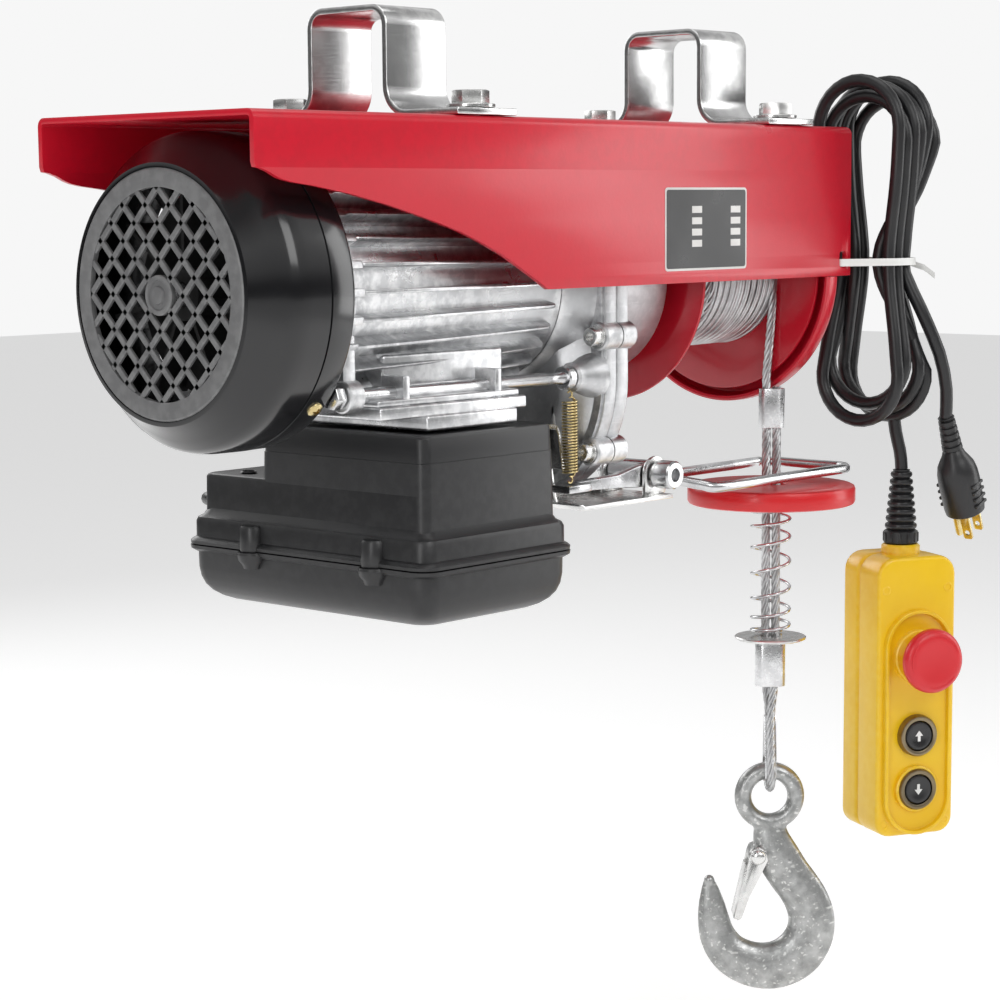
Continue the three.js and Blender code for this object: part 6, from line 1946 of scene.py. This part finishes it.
def sleeve():
    """A ribbed bend-relief sleeve, tapering up the cable from a knurled gland."""
    lo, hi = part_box("pendant_sleeve")
    centre = Vector(((lo.x + hi.x) / 2, (lo.y + hi.y) / 2, lo.z))
    height = (hi.z - lo.z) / MM
    profile = [(0, 4.3), (0, 10.0), (0.6, 10.6), (7.4, 10.6), (8.2, 9.6)]
    ribs = 8
    start, span = 8.6, height - 9.2
    for i in range(ribs):
        wide = 10.0 - 3.2 * i / (ribs - 1)
        base = start + span * i / ribs
        step = span / ribs
        profile += [
            (base, wide - 1.6), (base + step * 0.22, wide - 0.3), (base + step * 0.5, wide),
            (base + step * 0.76, wide - 0.4), (base + step * 0.9, wide - 1.7)
        ]
    profile += [(height, 5.4), (height, 4.3)]
    made = turned("ribbed_sleeve", [(a * MM, r * MM) for a, r in profile], centre, Z, 48, closed=True)
    flutes = []
    for i in range(12):
        turn = Matrix.Rotation(math.radians(30 * i), 4, "Z")
        flute = block("flute", (9.9 * MM, -0.0011, 1 * MM), (11.1 * MM, 0.0011, 7 * MM), 0.4 * MM, 2)
        flutes.append(placed_copy(flute, Matrix.Translation(centre) @ turn))
        bpy.data.objects.remove(flute, do_unlink=True)
    made = smooth(join("ribbed_sleeve", [made] + flutes), 40)
    return hand_over(made, "hoist", RUBBER, "pendant_sleeve")


# ------------------------------------------------------------------ plug and ties


def plug():
    """A moulded plug with a slotted bend relief, two flat blades and a round earth pin."""
    lean = math.radians(22)
    down = Vector((math.sin(lean), 0, -math.cos(lean)))
    side = Vector((math.cos(lean), 0, math.sin(lean)))
    top = Vector((303, -108, -176)) * MM
    profile = [(0, 0), (0, 4.6), (0.6, 5.2)]
    for i in range(5):
        base, wide = 2.0 + 4.2 * i, 5.2 + 0.28 * i
        profile += [
            (base, wide - 1.0), (base + 0.5, wide), (base + 2.9, wide + 0.15), (base + 3.4, wide - 0.9)
        ]
    profile += [
        (23.6, 6.6), (26, 7.4), (29, 9.2), (33, 11.4), (38, 12.6), (44, 13.0), (62, 12.7), (65.2, 12.2),
        (66, 11.2), (66, 0)
    ]
    body = turned("plug_body", [(a * MM, r * MM) for a, r in profile], top, down, 48)
    for sign in (-1, 1):
        for i in range(4):
            mark = top + down * ((46 + 4.5 * i) * MM) + Y * (sign * 12.4 * MM)
            rib = block("rib", (-0.006, -0.001, -0.0010), (0.006, 0.001, 0.0010), 0.5 * MM, 2)
            turn = Matrix((side, Y, -down)).transposed().to_4x4()
            body = join("plug_body", [body, placed_copy(rib, Matrix.Translation(mark) @ turn)])
            bpy.data.objects.remove(rib, do_unlink=True)
    hand_over(smooth(body, 40), "hoist", MOULDED_BLACK, "plug")
    pieces = []
    for sign in (-1, 1):
        corner = top + down * 64 * MM + side * (sign * 6.35 - 0.75) * MM - Y * 6 * MM
        blade = slab(
            "blade",
            [
                corner, corner + Y * 6.3 * MM, corner + Y * 6.3 * MM + down * 17 * MM,
                corner + Y * 5.3 * MM + down * 18 * MM, corner + Y * 1.0 * MM + down * 18 * MM,
                corner + down * 17 * MM
            ],
            side * 1.5 * MM
        )
        hole = turned(
            "hole", [(-0.02, 0), (-0.02, 0.0016), (0.02, 0.0016), (0.02, 0)],
            corner + Y * 3.1 * MM + down * 13.5 * MM, side, 24
        )
        carve(blade, hole)
        pieces.append(round_edges(blade, 0.3 * MM, 2, 40))
    pin = turned(
        "pin", [(64 * MM, 0), (64 * MM, 0.0024), (81.5 * MM, 0.0024), (83.2 * MM, 0.0018), (84 * MM, 0)],
        top + Y * 7.5 * MM, down, 24
    )
    pieces.append(pin)
    blades = smooth(join("plug_blades", pieces), 35)
    return hand_over(blades, "hoist", BRASS_SCREW)


def cable_ties():
    """Thin toothed bands with a square head: one round the hank, one round both cords at the far lip."""
    band = [
        (233.0, -80.6), (230.6, -79.0), (230.2, -77.0), (231.4, -74.6), (241, -62), (250.5, -50.5),
        (257, -47.6), (277, -46.8), (284.5, -49.5), (287.2, -57), (287.2, -88), (284.5, -95.5),
        (277, -98.8), (264, -98.4), (257.0, -96.0), (244, -87.6),
    ]
    z = TIE_Z - 0.3
    line = smooth_path([Vector((x, y, z)) * MM for x, y in band], 4, closed=True)
    near = ribbon("tie_band", [p - Z * 2.2 * MM for p in line], (0, 0, 4.4 * MM), 1.2 * MM, cyclic=True)
    head = block("head", (0.2865, -0.0795, (z - 3.2) * MM), (0.2915, -0.0715, (z + 3.2) * MM), 0.8 * MM, 2)
    tail = ribbon(
        "tail",
        [
            Vector((x, y, zz)) * MM for x, y,
            zz in ((289, -79, z - 2), (291.5, -88, z - 3), (295, -96, z - 6), (297.5, -102, z - 11))
        ],
        (0, 0, 3.6 * MM), 1.1 * MM
    )
    near = smooth(join("hank_tie", [near, head, tail]), 40)
    hand_over(near, "hoist", NYLON, "cable_tie_near")
    lo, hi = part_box("cable_tie_far")
    x = (lo.x + hi.x) / 2
    outline = rounded_outline(
        (x, (75.4 + 89) / 2 * MM, (-94.2 - 75.1) / 2 * MM), 12.9 * MM, 18.4 * MM, 3.6 * MM, Y, Z, 6
    )
    far = ribbon(
        "lip_tie_band", [p - X * 2.2 * MM for p in outline], (4.4 * MM, 0, 0), 1.1 * MM, offset=1.0,
        cyclic=True
    )
    head = block(
        "head_side", (x - 3 * MM, 89.8 * MM, -88 * MM), (x + 3 * MM, 93.4 * MM, -81 * MM), 0.8 * MM, 2
    )
    far = smooth(join("lip_tie", [far, head]), 40)
    hand_over(far, "hoist", NYLON, "cable_tie_far")


# ------------------------------------------------------------------ inner parts kept from the CAD


def dress_inner_parts():
    wear = {
        "stator": COPPER, "rotor": BRIGHT_STEEL, "fan_end_bearing": BRIGHT_STEEL,
        "gear_end_bearing": BRIGHT_STEEL, "layshaft_gear": BRIGHT_STEEL, "drum_gear": BRIGHT_STEEL,
        "drum_end_bearing": BRIGHT_STEEL, "capacitor": GRILLE_GREY_AND_SHEEN, "limit_switch": MOULDED_BLACK,
        "cooling_fan": DARK_PLASTIC,
    }
    for node, material in wear.items():
        nodes[node].data.materials.clear()
        nodes[node].data.materials.append(material)


# ------------------------------------------------------------------ studio


def studio():
    clear_selection()
    bpy.ops.mesh.primitive_plane_add(size=16, location=(0, 0, cad_bounds[0][2] - 0.06))
    floor = bpy.context.object
    floor.name = "floor"
    paper = bpy.data.materials.new("pale_paper")
    paper.use_nodes = True
    shader = paper.node_tree.nodes["Principled BSDF"]
    shader.inputs["Base Color"].default_value = (0.88, 0.88, 0.88, 1)
    shader.inputs["Roughness"].default_value = 0.85
    shader.inputs["Emission Color"].default_value = (1, 1, 1, 1)
    shader.inputs["Emission Strength"].default_value = 0.3
    floor.data.materials.append(paper)

    world = bpy.data.worlds.new("studio")
    bpy.context.scene.world = world
    world.use_nodes = True
    tree = world.node_tree
    tree.nodes.clear()
    place = tree.nodes.new("ShaderNodeTexCoord")
    split = tree.nodes.new("ShaderNodeSeparateXYZ")
    tree.links.new(place.outputs["Generated"], split.inputs["Vector"])
    ramp = tree.nodes.new("ShaderNodeValToRGB")
    tree.links.new(remap(tree, split.outputs["Z"], -1.0, 1.0), ramp.inputs["Fac"])
    stops = [
        (0.0, 0.5), (0.42, 0.4), (0.49, 0.06), (0.55, 0.06), (0.62, 0.5), (0.76, 0.8), (0.9, 0.25),
        (1.0, 0.3)
    ]
    ramp.color_ramp.elements[0].position = stops[0][0]
    ramp.color_ramp.elements[0].color = (stops[0][1],) * 3 + (1,)
    ramp.color_ramp.elements[1].position = stops[-1][0]
    ramp.color_ramp.elements[1].color = (stops[-1][1],) * 3 + (1,)
    for position, level in stops[1:-1]:
        element = ramp.color_ramp.elements.new(position)
        element.color = (level, level, level, 1)
    room = tree.nodes.new("ShaderNodeBackground")
    tree.links.new(ramp.outputs["Color"], room.inputs["Color"])
    room.inputs["Strength"].default_value = 1.0
    plain = tree.nodes.new("ShaderNodeBackground")
    plain.inputs["Color"].default_value = (0.93, 0.93, 0.93, 1)
    path = tree.nodes.new("ShaderNodeLightPath")
    mix = tree.nodes.new("ShaderNodeMixShader")
    tree.links.new(path.outputs["Is Camera Ray"], mix.inputs["Fac"])
    tree.links.new(room.outputs["Background"], mix.inputs[1])
    tree.links.new(plain.outputs["Background"], mix.inputs[2])
    output = tree.nodes.new("ShaderNodeOutputWorld")
    tree.links.new(mix.outputs["Shader"], output.inputs["Surface"])

    def lamp(name, place, target, power, size, size_y=None):
        data = bpy.data.lights.new(name, "AREA")
        data.energy = power
        data.shape = "RECTANGLE"
        data.size = size
        data.size_y = size_y or size
        obj = bpy.data.objects.new(name, data)
        bpy.context.scene.collection.objects.link(obj)
        obj.location = place
        obj.rotation_euler = (Vector(target) - Vector(place)).to_track_quat("-Z", "Y").to_euler()

    middle = (0.05, 0, -0.2)
    lamp("key", (-0.2, -1.6, 0.9), middle, 9, 1.0, 0.9)
    lamp("left", (-1.7, -0.5, 0.25), middle, 7, 0.35, 1.3)
    lamp("top", (0.1, -0.1, 1.6), middle, 9, 1.6, 1.2)
    lamp("right", (1.5, -1.0, 0.2), middle, 7, 0.6, 1.4)
    lamp("behind", (0.3, 1.7, 0.5), middle, 7, 1.2, 0.8)
    bpy.context.scene.view_settings.view_transform = "Standard"


# ------------------------------------------------------------------ assembly

red_frame()
blank_plate()
for bracket in ("motor_end_bracket", "drum_end_bracket"):
    beam_strap(bracket)
bolts()
fan_cowl()
grille()
cowl_screws()
motor_shield()
finned_housing()
tie_rods()
gear_case()
gear_cover()
case_screws()
rope_drum()
winding()
end_shield()
control_box()
box_lid()
limit_bracket()
limit_pin()
limit_arm()
limit_spring()
hanging_rope()
ferrule("upper_ferrule", "upper_sleeve", two_barrels(3.1, 4.8, 3.6))
ferrule("lower_ferrule", "lower_sleeve", two_barrels(3.1, 6.2, 5.6))
thimble()
stop_weight()
spring_and_washer()
hook()
latch()
pendant_shell()
pendant_buttons()
sleeve()
plug_blades = plug()
cable_ties()
dress_inner_parts()
studio()
